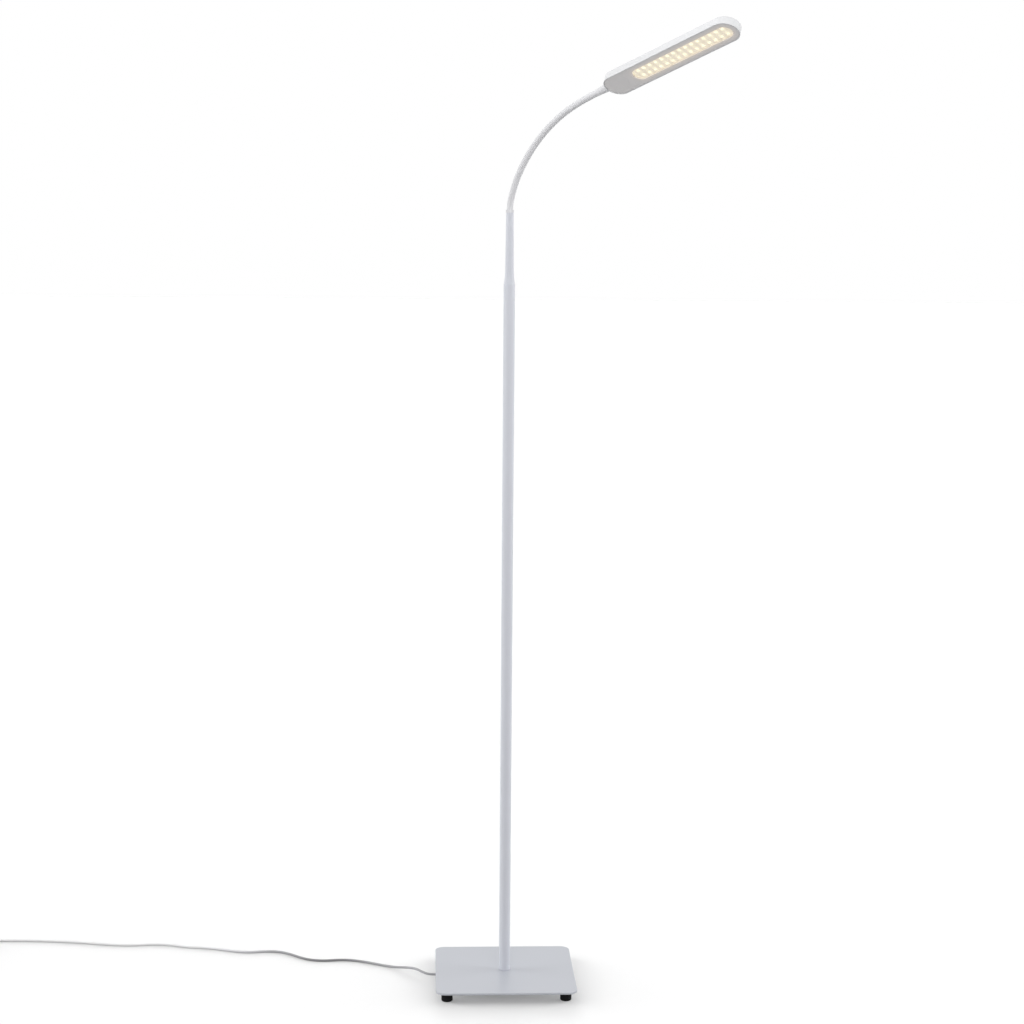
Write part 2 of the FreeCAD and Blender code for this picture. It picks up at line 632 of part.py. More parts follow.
def head_housing():
    """Thin shell, open below, with an entry for the neck and bosses for the boards."""
    shell = stadium(0, HEAD_LENGTH, HEAD_WIDTH, 0, HEAD_THICKNESS)
    upper = [e for e in shell.Edges if e.BoundBox.ZMin > HEAD_THICKNESS - TOLERANCE]
    shell = shell.makeFillet(min(HEAD_EDGE_ROUND, 0.8 * HEAD_WALL), upper)
    hollow_width = HEAD_WIDTH - 2 * HEAD_WALL
    shell = shell.cut(stadium(HEAD_WALL, HEAD_LENGTH - HEAD_WALL, hollow_width, -CUT_MARGIN, HEAD_CEILING))
    shell = shell.cut(Part.makeCylinder(CORE_RADIUS + TURN_CLEARANCE, HEAD_WIDTH / 4,
                                        V(-CUT_MARGIN, 0, HEAD_MIDDLE), V(1, 0, 0)))
    posts = [rod(BOSS_DIAMETER / 2, BOARD_TOP, HEAD_CEILING + HEAD_WALL / 2, x, y)
             for x, y in BOARD_SCREWS + DRIVER_SCREWS]
    shell = joined([shell] + posts)
    pilot_radius = SMALL_SCREW_DIAMETER / 2 + SLIDE_CLEARANCE / 2
    pilot_top = BOARD_TOP + SMALL_SCREW_BITE + SEAT_CLEARANCE
    for x, y in BOARD_SCREWS + DRIVER_SCREWS:
        shell = shell.cut(rod(pilot_radius, BOARD_TOP - CUT_MARGIN, pilot_top, x, y))
    return shell


def bezel_cover():
    """Underside cover, sunk a little inside the housing's rim, with the window's opening."""
    inset = HEAD_WALL + SLIDE_CLEARANCE
    plate = stadium(inset, HEAD_LENGTH - inset, HEAD_WIDTH - 2 * inset, BEZEL_SINK, BEZEL_TOP)
    opening = stadium(WINDOW_START, WINDOW_END, WINDOW_WIDTH, -CUT_MARGIN, BEZEL_TOP + CUT_MARGIN)
    return plate.cut(opening)


def window_lens():
    """Clear pane over the opening, behind the bezel."""
    return stadium(WINDOW_START - LENS_OVERLAP, WINDOW_END + LENS_OVERLAP,
                   WINDOW_WIDTH + 2 * LENS_OVERLAP, BEZEL_TOP, LENS_TOP)


def reflector_frame():
    """White frame round the two rows of lights, between the pane and the board."""
    outer = stadium(WINDOW_START - LENS_OVERLAP, WINDOW_END + LENS_OVERLAP,
                    WINDOW_WIDTH + 2 * LENS_OVERLAP, LENS_TOP, BOARD_BOTTOM)
    inner = stadium(WINDOW_START, WINDOW_END, WINDOW_WIDTH, LENS_TOP - CUT_MARGIN, BOARD_BOTTOM + CUT_MARGIN)
    return outer.cut(inner)


def with_screw_holes(board, places):
    """Board with a clear hole for each small screw."""
    radius = SMALL_SCREW_DIAMETER / 2 + SLIDE_CLEARANCE
    for x, y in places:
        board = board.cut(rod(radius, BOARD_BOTTOM - CUT_MARGIN, BOARD_TOP + CUT_MARGIN, x, y))
    return board


def led_board():
    """Board with a round far end, screwed to the housing's bosses."""
    board = stadium(BOARD_START - BOARD_WIDTH / 2, BOARD_END, BOARD_WIDTH, BOARD_BOTTOM, BOARD_TOP)
    keep = box(V(BOARD_START, -BOARD_WIDTH, BOARD_BOTTOM), V(HEAD_LENGTH, BOARD_WIDTH, BOARD_TOP))
    return with_screw_holes(board.common(keep), BOARD_SCREWS)


def leds():
    """Two rows of lights on the board's underside."""
    packages = []
    reach = V(LED_LENGTH / 2, LED_WIDTH / 2, 0)
    for row in range(LED_ROWS):
        y = (row - (LED_ROWS - 1) / 2) * LED_ROW_SPACING
        for i in range(LED_COUNT):
            x = LED_MIDDLE + (i - (LED_COUNT - 1) / 2) * LED_PITCH
            packages.append(box(V(x, y, BOARD_BOTTOM - LED_HEIGHT) - reach, V(x, y, BOARD_BOTTOM) + reach))
    return Part.makeCompound(packages)


def driver_board():
    """Small dimmer board with its larger components on top."""
    board = box(V(DRIVER_START, -DRIVER_WIDTH / 2, BOARD_BOTTOM),
                V(DRIVER_START + DRIVER_LENGTH, DRIVER_WIDTH / 2, BOARD_TOP))
    parts = [with_screw_holes(board, DRIVER_SCREWS)]
    for x, y, length, width in CHIPS:
        low = V(DRIVER_START + x, y, BOARD_TOP)
        parts.append(box(low, low + V(length, width, CHIP_HEIGHT)))
    return joined(parts)


def touch_pad():
    """Sensor plate under the housing's top, on a post from the dimmer board."""
    x = DRIVER_START + DRIVER_LENGTH / 2
    plate_low = HEAD_CEILING - TOUCH_PAD_THICKNESS
    return rod(TOUCH_PAD_DIAMETER / 2, plate_low, HEAD_CEILING, x).fuse(
        rod(TOUCH_POST_DIAMETER / 2, BOARD_TOP, plate_low, x)).removeSplitter()


def small_screw(x, y):
    """Small screw for the boards and the saddle, all seated at one height."""
    return pan_screw(x, y, BOARD_BOTTOM, SMALL_SCREW_DIAMETER, SMALL_HEAD_DIAMETER, SMALL_HEAD_HEIGHT,
                     SMALL_SHANK)


def head_screws():
    """Ten equal small screws: six for the light board, two for the dimmer board, two for the saddle."""
    places = BOARD_SCREWS + DRIVER_SCREWS + SADDLE_SCREWS
    return Part.makeCompound([small_screw(x, y) for x, y in places])


def neck_saddle():
    """Block inside the head that traps the ferrule on the neck's end."""
    half = SADDLE_WIDTH / 2
    block = box(V(SADDLE_START, -half, BEZEL_TOP), V(SADDLE_START + SADDLE_LENGTH, half, HEAD_CEILING))
    inside = stadium(HEAD_WALL + SLIDE_CLEARANCE, HEAD_LENGTH, HEAD_WIDTH - 2 * HEAD_WALL, 0, HEAD_THICKNESS)
    block = block.common(inside)
    axis = V(1, 0, 0)
    bore = Part.makeCylinder(CORE_RADIUS + TURN_CLEARANCE, SADDLE_LENGTH + 2 * CUT_MARGIN,
                             V(SADDLE_START - CUT_MARGIN, 0, HEAD_MIDDLE), axis)
    groove_start = SADDLE_MIDDLE - FERRULE_LENGTH / 2 - TURN_CLEARANCE
    groove = Part.makeCylinder(FERRULE_DIAMETER / 2 + TURN_CLEARANCE, FERRULE_LENGTH + 2 * TURN_CLEARANCE,
                               V(groove_start, 0, HEAD_MIDDLE), axis)
    block = block.cut(bore).cut(groove)
    hole_top = BOARD_BOTTOM + SMALL_SHANK + SEAT_CLEARANCE
    for x, y in SADDLE_SCREWS:
        well = rod(SMALL_HEAD_DIAMETER / 2 + TURN_CLEARANCE, BEZEL_TOP - CUT_MARGIN, BOARD_BOTTOM, x, y)
        hole_radius = SMALL_SCREW_DIAMETER / 2 + SLIDE_CLEARANCE / 2
        block = block.cut(well).cut(rod(hole_radius, BOARD_BOTTOM - CUT_MARGIN, hole_top, x, y))
    return block


def neck_ferrule():
    """Ring crimped on the neck's core inside the saddle's groove."""
    start = V(SADDLE_MIDDLE - FERRULE_LENGTH / 2, 0, HEAD_MIDDLE)
    ring = Part.makeCylinder(FERRULE_DIAMETER / 2, FERRULE_LENGTH, start, V(1, 0, 0))
    bore = Part.makeCylinder(CORE_RADIUS, FERRULE_LENGTH + 2 * CUT_MARGIN,
                             start - V(CUT_MARGIN, 0, 0), V(1, 0, 0))
    return ring.cut(bore)


def head_wires():
    """Two wires from the lead's end to the dimmer board and two on to the light board."""
    r = WIRE_DIAMETER / 2
    wires = []
    lead_end = SADDLE_START + SADDLE_LENGTH
    for side in (-1, 1):
        y = side * FIRST_WIRE_Y
        start = V(lead_end, y, HEAD_MIDDLE)
        knee = start + V(WIRE_REACH, 0, 0)
        landing = V(DRIVER_START + WIRE_LANDING, y, BOARD_TOP)
        corner = V(landing.x, y, HEAD_MIDDLE + WIRE_RISE)
        path = rounded_path([start, knee, corner, landing], FIRST_WIRE_RADII)
        wires.append(swept(path, r, start, V(1, 0, 0)))
        y = side * SECOND_WIRE_Y
        start = V(DRIVER_START + DRIVER_LENGTH - WIRE_LANDING, y, BOARD_TOP)
        finish = V(BOARD_START + WIRE_LANDING, y, BOARD_TOP)
        rise = V(0, 0, SECOND_WIRE_RISE)
        path = rounded_path([start, start + rise, finish + rise, finish], SECOND_WIRE_RADII)
        wires.append(swept(path, r, start, V(0, 0, 1)))
    return Part.makeCompound(wires)


# ---- loose cord ---------------------------------------------------------------------------------
# How far out from the exit, how far back, and how high each point of the laid-out stretch is
CORD_POINTS = [
    (12.5, 4.0, 7.3), (22.5, 12.5, 8.8), (29.5, 23.0, 8.8), (37.0, 33.0, 7.0), (47.0, 42.0, 4.6),
    (61.5, 50.0, 2.2), (80.0, 60.0, FLOOR_LINE), (101.0, 72.5, FLOOR_LINE),
    (121.0, 82.0, FLOOR_LINE), (142.0, 86.0, FLOOR_LINE), (165.0, 81.5, FLOOR_LINE),
    (186.0, 84.5, FLOOR_LINE), (203.0, 95.5, FLOOR_LINE), (219.0, 112.0, FLOOR_LINE),
    (238.0, 124.5, FLOOR_LINE), (259.0, 126.0, FLOOR_LINE), (280.0, 121.5, FLOOR_LINE),
    (302.0, 125.5, FLOOR_LINE), (326.0, 136.0, FLOOR_LINE), (352.0, 144.0, FLOOR_LINE),
    (380.0, 147.5, FLOOR_LINE), (405.0, 159.0, FLOOR_LINE), (432.0, 162.0, FLOOR_LINE),
    (464.0, 157.0, FLOOR_LINE), (500.0, 161.0, FLOOR_LINE), (542.0, 172.0, FLOOR_LINE),
    (594.0, 180.0, FLOOR_LINE), (644.0, COIL_ENTRY_Y, FLOOR_LINE),
    (COIL_DISTANCE - COIL_END_LENGTH, COIL_ENTRY_Y, FLOOR_LINE)]
CORD_ROUTE = [CORD_EXIT] + [V(CORD_EXIT.x - out, y, z) for out, y, z in CORD_POINTS]

COIL_OUTER_RADIUS = COIL_INNER_RADIUS + COIL_PITCH * COIL_TURNS_PER_LAYER
COIL_CENTRE = V(CORD_EXIT.x - COIL_DISTANCE, COIL_ENTRY_Y - COIL_OUTER_RADIUS, 0)
COIL_TURNS = 2 * COIL_TURNS_PER_LAYER + 0.25
STATIONS_PER_TURN = 4


def coil_point(turns):
    """Place on the coil's centre line after so many turns: in on the floor, up, and out again."""
    past_middle = turns - COIL_TURNS_PER_LAYER
    radius = COIL_INNER_RADIUS + COIL_PITCH * abs(past_middle)
    share = min(max(past_middle / COIL_CLIMB_TURNS + 0.5, 0), 1)
    height = COIL_LAYER_RISE * share * share * (3 - 2 * share)
    angle = 2 * pi * turns + pi / 2
    return COIL_CENTRE + V(radius * cos(angle), radius * sin(angle), FLOOR_LINE + height)


def coil_direction(turns):
    """Unit tangent of the coil's centre line."""
    step = 1e-4
    before = coil_point(max(turns - step, 0))
    after = coil_point(min(turns + step, COIL_TURNS))
    return (after - before).normalize()


def biarc(start, start_direction, finish, finish_direction):
    """Two arcs that join two places with the given directions."""
    chord = finish - start
    total = start_direction + finish_direction
    a = 2 * (1 - start_direction.dot(finish_direction))
    b = 2 * chord.dot(total)
    c = -chord.dot(chord)
    reach = (-b + sqrt(b * b - 4 * a * c)) / (2 * a) if a > 1e-9 else -c / b
    knee_a = start + start_direction * reach
    knee_b = finish - finish_direction * reach
    middle = (knee_a + knee_b) * 0.5
    arcs = []
    for begin, knee, end in ((start, knee_a, middle), (middle, knee_b, finish)):
        half_chord = (end - begin).Length / 2
        half_turn = atan(sqrt(max((knee - begin).Length ** 2 - half_chord ** 2, 0)) / half_chord)
        centre_of_chord = (begin + end) * 0.5
        if half_turn < 1e-4:
            arcs.append(Part.makeLine(begin, end))
            continue
        sagitta = half_chord * tan(half_turn / 2)
        top = centre_of_chord + (knee - centre_of_chord).normalize() * sagitta
        arcs.append(Part.Arc(begin, top, end).toShape())
    return arcs


def coil_path():
    """Centre line of the coil: a short straight end, biarcs of a quarter turn, a straight end."""
    first = coil_point(0)
    edges = []
    count = int(round(COIL_TURNS * STATIONS_PER_TURN))
    marks = [COIL_TURNS * i / count for i in range(count + 1)]
    directions = [coil_direction(t) for t in marks]
    directions[0] = V(-1, 0, 0)
    directions[-1] = V(0, -1, 0)
    edges.append(Part.makeLine(first - directions[0] * COIL_END_LENGTH, first))
    for i in range(count):
        edges += biarc(coil_point(marks[i]), directions[i], coil_point(marks[i + 1]), directions[i + 1])
    last = coil_point(COIL_TURNS)
    edges.append(Part.makeLine(last, last + directions[-1] * COIL_END_LENGTH))
    return Part.Wire(edges)


def least_gap(wire, diameter):
    """Least clear space between the coil and itself, on points along its centre line."""
    spacing = 1.0
    count = int(wire.Length / spacing)
    points = wire.discretize(count)
    skip = int(3.0 * COIL_INNER_RADIUS / spacing)
    least = 1e9
    for i in range(count):
        for j in range(i + skip, count):
            distance = (points[i] - points[j]).Length
            if distance < least:
                least = distance
    return least - diameter


def cord_run():
    """Loose cord from the strain relief to the coil, as a tube of straight runs and arcs."""
    radii = widest_arcs(CORD_ROUTE)
    wire = rounded_path(CORD_ROUTE, radii)
    solid = swept(wire, LEAD_RADIUS, CORD_ROUTE[0], CORD_ROUTE[1] - CORD_ROUTE[0])
    check_sweep("cord_run", solid, wire, LEAD_RADIUS)
    print("   cord radii", [round(r) for r in radii])
    return solid, wire.Length


def cord_coil():
    """The put-away rest of the cord as one unbroken tube."""
    wire = coil_path()
    begin = wire.OrderedVertexes[0].Point
    solid = swept(wire, LEAD_RADIUS, begin, V(-1, 0, 0))
    check_sweep("cord_coil", solid, wire, LEAD_RADIUS)
    gap = least_gap(wire, LEAD_DIAMETER)
    print("   coil least gap %.2f (wanted over %.2f)" % (gap, LEAST_COIL_GAP))
    return solid, wire.Length


PLUG_START = coil_point(COIL_TURNS) + V(0, -COIL_END_LENGTH, 0)


def plug_body():
    """Wall adapter lying on its side, with a moulded tapered entry for the cord."""
    x = PLUG_START.x
    y = PLUG_START.y - PLUG_RELIEF_LENGTH
    body = box(V(x - PLUG_WIDTH / 2, y - PLUG_LENGTH, 0), V(x + PLUG_WIDTH / 2, y, PLUG_HEIGHT))
    body = body.makeFillet(PLUG_ROUND, body.Edges)
    relief = Part.makeCone(PLUG_RELIEF_DIAMETER / 2, LEAD_RADIUS + PLUG_RELIEF_WALL,
                           PLUG_RELIEF_LENGTH + CUT_MARGIN, V(x, y - CUT_MARGIN, PLUG_START.z), V(0, 1, 0))
    above_floor = box(V(x - PLUG_WIDTH / 2, y - 2 * CUT_MARGIN, CORD_LIE),
                      V(x + PLUG_WIDTH / 2, PLUG_START.y, PLUG_HEIGHT))
    return joined([body, relief.common(above_floor)])


def plug_pins():
    """Two round contact pins."""
    y = PLUG_START.y - PLUG_RELIEF_LENGTH - PLUG_LENGTH
    pins = []
    for side in (-1, 1):
        start = V(PLUG_START.x + side * PIN_SPACING / 2, y, PLUG_HEIGHT / 2)
        pin = Part.makeCylinder(PIN_DIAMETER / 2, PIN_LENGTH, start, V(0, -1, 0))
        tip = [e for e in pin.Edges if e.BoundBox.YMax < y - PIN_LENGTH + TOLERANCE]
        pins.append(pin.makeFillet(PIN_DIAMETER * PIN_ROUND_SHARE, tip))
    return Part.makeCompound(pins)


# ---- write every node ---------------------------------------------------------------------------
def write_base():
    save("base_plate", base_plate())
    for number, (x, y) in enumerate(FOOT_PLACES, 1):
        save("foot_%d" % number, foot(x, y))
    save("base_screws", base_screws())
    save("base_stud", base_stud())
    save("base_washer", base_washer())
    save("base_nut", base_nut())
    save("cable_bush", cable_bush())
    save("lead_clamp", lead_clamp())
    save("strain_relief", strain_relief())
    save("pole_lead", pole_lead())


def write_pole():
    for number, name in enumerate(POLE_SECTIONS):
        low = PLATE_TOP + number * POLE_SECTION_LENGTH
        save(name, pole_section(low, low + POLE_SECTION_LENGTH))
    save("pole_insert", pole_insert())
    save("joiner_lower", joiner(PLATE_TOP + POLE_SECTION_LENGTH))
    save("joiner_upper", joiner(PLATE_TOP + 2 * POLE_SECTION_LENGTH))
    save("neck_cone", neck_cone())
    save("neck_holder", neck_holder())
    save("neck_collar", neck_collar())


def write_neck():
    for index in range(len(LINK_TURNS)):
        sleeve, core, lead = neck_pieces(index)
        save("neck_sleeve_%d" % (index + 1), in_bend_plane(sleeve))
        save("neck_core_%d" % (index + 1), in_bend_plane(core))
        save("neck_lead_%d" % (index + 1), in_bend_plane(lead))


def write_head():
    save("neck_ferrule", on_head(neck_ferrule()))
    save("neck_saddle", on_head(neck_saddle()))
    save("head_housing", on_head(head_housing()))
    save("bezel_cover", on_head(bezel_cover()))
    save("window_lens", on_head(window_lens()))
    save("reflector_frame", on_head(reflector_frame()))
    save("led_board", on_head(led_board()))
    save("leds", on_head(leds()))
    save("driver_board", on_head(driver_board()))
    save("touch_pad", on_head(touch_pad()))
    save("head_screws", on_head(head_screws()))
    save("head_wires", on_head(head_wires()))


def write_cord():
    run, run_length = cord_run()
    coil, coil_length = cord_coil()
    save("cord_run", run)
    save("cord_coil", coil)
    save("plug_body", plug_body())
    save("plug_pins", plug_pins())
    print("   free cord %.0f mm: %.0f laid out and %.0f coiled"
          % (run_length + coil_length, run_length, coil_length))


def print_joints():
    """Hinge places and axes in metres, for the record."""
    axis = BEND_PLANE.multVec(V(0, 1, 0))
    print("   bend axis %.5f %.5f %.5f" % (axis.x, axis.y, axis.z))
    for number, place in enumerate(HINGES, 1):
        spot = BEND_PLANE.multVec(place)
        print("   hinge %d at %.5f %.5f %.5f" % (number, spot.x / 1000, spot.y / 1000, spot.z / 1000))
    end = BEND_PLANE.multVec(NECK_END)
    out = HEAD_PLACE.Rotation.multVec(V(1, 0, 0))
    print("   neck end %.5f %.5f %.5f lean %.2f" % (end.x / 1000, end.y / 1000, end.z / 1000, NECK_LEAN))
    print("   head axis %.5f %.5f %.5f" % (out.x, out.y, out.z))
    print("   collar top %.2f" % COLLAR_TOP)


write_base()
write_pole()
write_neck()
write_head()
write_cord()
print_joints()
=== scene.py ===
"""Gooseneck reading floor lamp: its finishes, gooseneck, light window, loose cord and studio.

Metres, +Z up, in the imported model's own frame. The gooseneck's sleeve, the cover and lamps of the
light window and the loose cord are made here. Every other piece keeps the shape that it has in the
frame and gets its finish here.
"""
import json
from math import cos, pi, radians, sin

import bmesh
import bpy
from bpy.props import FloatProperty, FloatVectorProperty, IntProperty, PointerProperty
from mathutils import Matrix, Vector


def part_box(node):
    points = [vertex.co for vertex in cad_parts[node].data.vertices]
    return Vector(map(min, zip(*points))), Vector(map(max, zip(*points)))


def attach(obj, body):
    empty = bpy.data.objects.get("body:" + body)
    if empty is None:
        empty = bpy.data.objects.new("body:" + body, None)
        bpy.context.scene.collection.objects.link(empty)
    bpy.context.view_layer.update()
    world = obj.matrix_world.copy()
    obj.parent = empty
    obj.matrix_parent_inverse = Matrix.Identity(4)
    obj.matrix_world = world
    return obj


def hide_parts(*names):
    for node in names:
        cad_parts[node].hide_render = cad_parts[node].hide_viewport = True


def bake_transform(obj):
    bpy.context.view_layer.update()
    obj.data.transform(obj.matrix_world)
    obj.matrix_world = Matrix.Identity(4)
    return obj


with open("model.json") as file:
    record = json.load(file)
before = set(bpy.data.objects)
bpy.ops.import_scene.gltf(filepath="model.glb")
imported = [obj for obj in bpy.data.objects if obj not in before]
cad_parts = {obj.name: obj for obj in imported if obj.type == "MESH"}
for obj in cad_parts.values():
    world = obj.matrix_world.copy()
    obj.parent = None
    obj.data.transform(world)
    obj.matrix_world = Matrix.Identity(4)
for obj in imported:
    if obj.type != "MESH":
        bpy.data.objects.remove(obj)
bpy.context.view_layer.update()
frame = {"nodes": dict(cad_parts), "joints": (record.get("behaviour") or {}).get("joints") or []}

bl_info = {
    "name": "Gooseneck Reading Floor Lamp",
    "version": (1, 0, 0),
    "blender": (4, 5, 0),
    "location": "3D View > Sidebar > Lamp",
    "description": "Dresses a gooseneck reading floor lamp and sets up its studio",
    "category": "Object",
}

MM = 0.001
JOINTS = {joint["name"]: joint for joint in frame["joints"]}
LINKS = 7
BEND_NAMES = ["neck_bend"] + ["neck_bend_%d" % number for number in range(2, LINKS)]


# ---- what a user may change -----------------------------------------------------------------------
def colour_choice(name, description, default):
    """Colour property with a swatch."""
    return FloatVectorProperty(name=name, description=description, subtype="COLOR", size=3,
                               min=0.0, max=1.0, default=default)


class LampColours(bpy.types.PropertyGroup):
    """Colours of the lamp's finishes."""
    base: colour_choice("Base", "Paint of the base plate", (0.51, 0.527, 0.573))
    pole: colour_choice("Pole", "Paint of the pole, reducer and holder", (0.604, 0.618, 0.670))
    sleeve: colour_choice("Sleeve", "Silicone sleeve of the gooseneck", (0.665, 0.665, 0.683))
    head: colour_choice("Head", "Paint of the head's housing", (0.66, 0.665, 0.675))
    bezel: colour_choice("Bezel", "Cover on the head's underside", (0.695, 0.677, 0.677))
    feet: colour_choice("Feet", "Rubber of the feet", (0.007, 0.007, 0.0075))
    cord: colour_choice("Cord", "Vinyl of the lead near the base", (0.40, 0.397, 0.415))
    adapter: colour_choice("Adapter", "Housing of the wall adapter", (0.70, 0.70, 0.695))
    light: colour_choice("Light", "Colour of the lit lamps", (1.0, 0.94, 0.71))
    # Colour of the painted glow on the board, the frame and the window's wall round the lamps
    painted_glow: colour_choice("Glow", "Colour of the lit board and frame round them", (1.0, 0.90, 0.72))


class LampSizes(bpy.types.PropertyGroup):
    """Sizes of the pieces that are made here."""
    sleeve_diameter: FloatProperty(name="Sleeve", description="Gooseneck's outer diameter",
                                   default=0.009, unit="LENGTH")
    sleeve_wall: FloatProperty(name="Sleeve wall", description="Wall of the gooseneck's sleeve",
                               default=0.0005, unit="LENGTH")
    flare_diameter: FloatProperty(name="Flare", description="Sleeve's diameter at the head",
                                  default=0.0116, unit="LENGTH")
    flare_length: FloatProperty(name="Flare length", description="Stretch over which it widens",
                                default=0.025, unit="LENGTH")
    sleeve_sides: IntProperty(name="Sleeve sides", description="Faces round the sleeve", default=40)
    sleeve_step: FloatProperty(name="Sleeve step", description="Length of one ring of faces",
                               default=0.0023, unit="LENGTH")
    cord_diameter: FloatProperty(name="Cord", description="Loose cord's diameter",
                                 default=0.0035, unit="LENGTH")
    cord_length: FloatProperty(name="Cord length", description="From the base to the wall adapter",
                               default=1.72, unit="LENGTH")


class StudioSettings(bpy.types.PropertyGroup):
    """Camera and light."""
    lens: FloatProperty(name="Lens", description="Focal length", default=72.19, unit="CAMERA")
    place: FloatVectorProperty(name="Camera place", description="Where the camera stands",
                               subtype="TRANSLATION", unit="LENGTH", size=3,
                               default=(-0.114, -2.883, 1.032))
    heading: FloatProperty(name="Heading", description="Turn to the right of straight ahead",
                           subtype="ANGLE", default=radians(2.385))
    pitch: FloatProperty(name="Pitch", description="How far down it looks", subtype="ANGLE",
                         default=radians(6.851))
    roll: FloatProperty(name="Roll", description="Turn about the line of sight", subtype="ANGLE",
                        default=radians(0.44))
    top: FloatProperty(name="Top", description="Light from above", default=0.27)
    surround: FloatProperty(name="Surround", description="Light from the bright walls near the floor",
                            default=2.6)
    wall_height: FloatProperty(name="Wall height", description="How fast the walls' light fades upwards",
                               default=0.3)
    front_loss: FloatProperty(name="Front loss", description="Share of it that is missing in front",
                              default=0.5)
    back_gain: FloatProperty(name="Back gain", description="Share that is added behind", default=0.35)
    sides: FloatProperty(name="Sides", description="Soft light from each side", default=0.8)
    behind: FloatProperty(name="Behind", description="Low light from behind on the floor", default=3.0)
    beside: FloatProperty(name="Beside", description="Low light from each side on the floor",
                          default=1.0)
    upper: FloatProperty(name="Upper", description="Power of the soft box above in front, in watts",
                         default=8.0)
    # Also sets the strength of the painted glow on the window's wall, the frame and the board
    lit: FloatProperty(name="Lit", description="Strength of the lit lamps", default=0.85)


# ---- shader node helpers --------------------------------------------------------------------------
def add_node(tree, kind, **values):
    """Node with some of its inputs or settings given by name."""
    node = tree.nodes.new(kind)
    for name, value in values.items():
        if name in node.inputs:
            node.inputs[name].default_value = value
        else:
            setattr(node, name, value)
    return node


def sums(tree, operation, first, second, third=None, clamp=False):
    """Math node on sockets or plain numbers; returns its output."""
    node = add_node(tree, "ShaderNodeMath", operation=operation, use_clamp=clamp)
    for place, given in enumerate((first, second, third)):
        if isinstance(given, (int, float)):
            node.inputs[place].default_value = given
        elif given is not None:
            tree.links.new(given, node.inputs[place])
    return node.outputs[0]


def new_group(name, inputs, outputs):
    """Shader node group with sockets of the given types and defaults."""
    group = bpy.data.node_groups.new(name, "ShaderNodeTree")
    for label, kind, default in inputs:
        socket = group.interface.new_socket(label, in_out="INPUT", socket_type=kind)
        socket.default_value = default
    for label, kind in outputs:
        group.interface.new_socket(label, in_out="OUTPUT", socket_type=kind)
    return group, group.nodes.new("NodeGroupInput"), group.nodes.new("NodeGroupOutput")


def toned(group, given, result, pattern, contrast):
    """Let a pattern lighten and darken the group's colour; returns the pattern about zero and the tone."""
    centred = sums(group, "SUBTRACT", pattern, 0.5)
    tone = sums(group, "MULTIPLY_ADD", centred, given.outputs[contrast], 1.0)
    tinted = add_node(group, "ShaderNodeVectorMath", operation="SCALE")
    group.links.new(given.outputs["Colour"], tinted.inputs[0])
    group.links.new(tone, tinted.inputs["Scale"])
    group.links.new(tinted.outputs[0], result.inputs["Colour"])
    return centred, tone


def noise(group, place, scale, detail, roughness):
    """Noise over a place, at a scale that the group is given; returns its strength."""
    node = add_node(group, "ShaderNodeTexNoise", Detail=detail, Roughness=roughness)
    group.links.new(place, node.inputs["Vector"])
    group.links.new(scale, node.inputs["Scale"])
    return node.outputs["Fac"]


def surface_texture():
    """Clouding of colour and roughness, and fine grain as a height."""
    found = bpy.data.node_groups.get("surface texture")
    if found:
        return found
    group, given, result = new_group(
        "surface texture",
        [("Colour", "NodeSocketColor", (0.8, 0.8, 0.8, 1.0)), ("Clouding", "NodeSocketFloat", 0.03),
         ("Cloud Scale", "NodeSocketFloat", 14.0), ("Roughness", "NodeSocketFloat", 0.4),
         ("Roughness Change", "NodeSocketFloat", 0.05), ("Grain Scale", "NodeSocketFloat", 1800.0)],
        [("Colour", "NodeSocketColor"), ("Roughness", "NodeSocketFloat"), ("Height", "NodeSocketFloat")])
    place = add_node(group, "ShaderNodeTexCoord").outputs["Object"]
    clouds = noise(group, place, given.outputs["Cloud Scale"], 4.0, 0.6)
    centred, _ = toned(group, given, result, clouds, "Clouding")
    rough = sums(group, "MULTIPLY_ADD", centred, given.outputs["Roughness Change"],
                 given.outputs["Roughness"], clamp=True)
    grain = noise(group, place, given.outputs["Grain Scale"], 2.0, 0.5)
    group.links.new(rough, result.inputs["Roughness"])
    group.links.new(grain, result.inputs["Height"])
    return group


def drawn_streaks():
    """Fine streaks along one axis, as on drawn or brushed metal."""
    found = bpy.data.node_groups.get("drawn streaks")
    if found:
        return found
    group, given, result = new_group(
        "drawn streaks",
        [("Colour", "NodeSocketColor", (0.6, 0.6, 0.6, 1.0)), ("Roughness", "NodeSocketFloat", 0.35),
         ("Stretch", "NodeSocketVector", (1.0, 1.0, 0.04)), ("Streak Scale", "NodeSocketFloat", 900.0),
         ("Contrast", "NodeSocketFloat", 0.2)],
        [("Colour", "NodeSocketColor"), ("Roughness", "NodeSocketFloat"), ("Height", "NodeSocketFloat")])
    place = add_node(group, "ShaderNodeTexCoord").outputs["Object"]
    stretched = add_node(group, "ShaderNodeVectorMath", operation="MULTIPLY")
    group.links.new(place, stretched.inputs[0])
    group.links.new(given.outputs["Stretch"], stretched.inputs[1])
    streaks = noise(group, stretched.outputs[0], given.outputs["Streak Scale"], 3.0, 0.6)
    _, tone = toned(group, given, result, streaks, "Contrast")
    rough = sums(group, "MULTIPLY", given.outputs["Roughness"], tone, clamp=True)
    group.links.new(rough, result.inputs["Roughness"])
    group.links.new(streaks, result.inputs["Height"])
    return group


def new_material(name):
    """Material with only its own shader and output; returns it, its tree and the shader."""
    material = bpy.data.materials.new(name)
    material.use_nodes = True
    tree = material.node_tree
    return material, tree, tree.nodes["Principled BSDF"]


def placed(tree, group, values):
    """One of the groups above, with its values given by name."""
    texture = add_node(tree, "ShaderNodeGroup", node_tree=group)
    for socket, value in values.items():
        texture.inputs[socket].default_value = value
    return texture


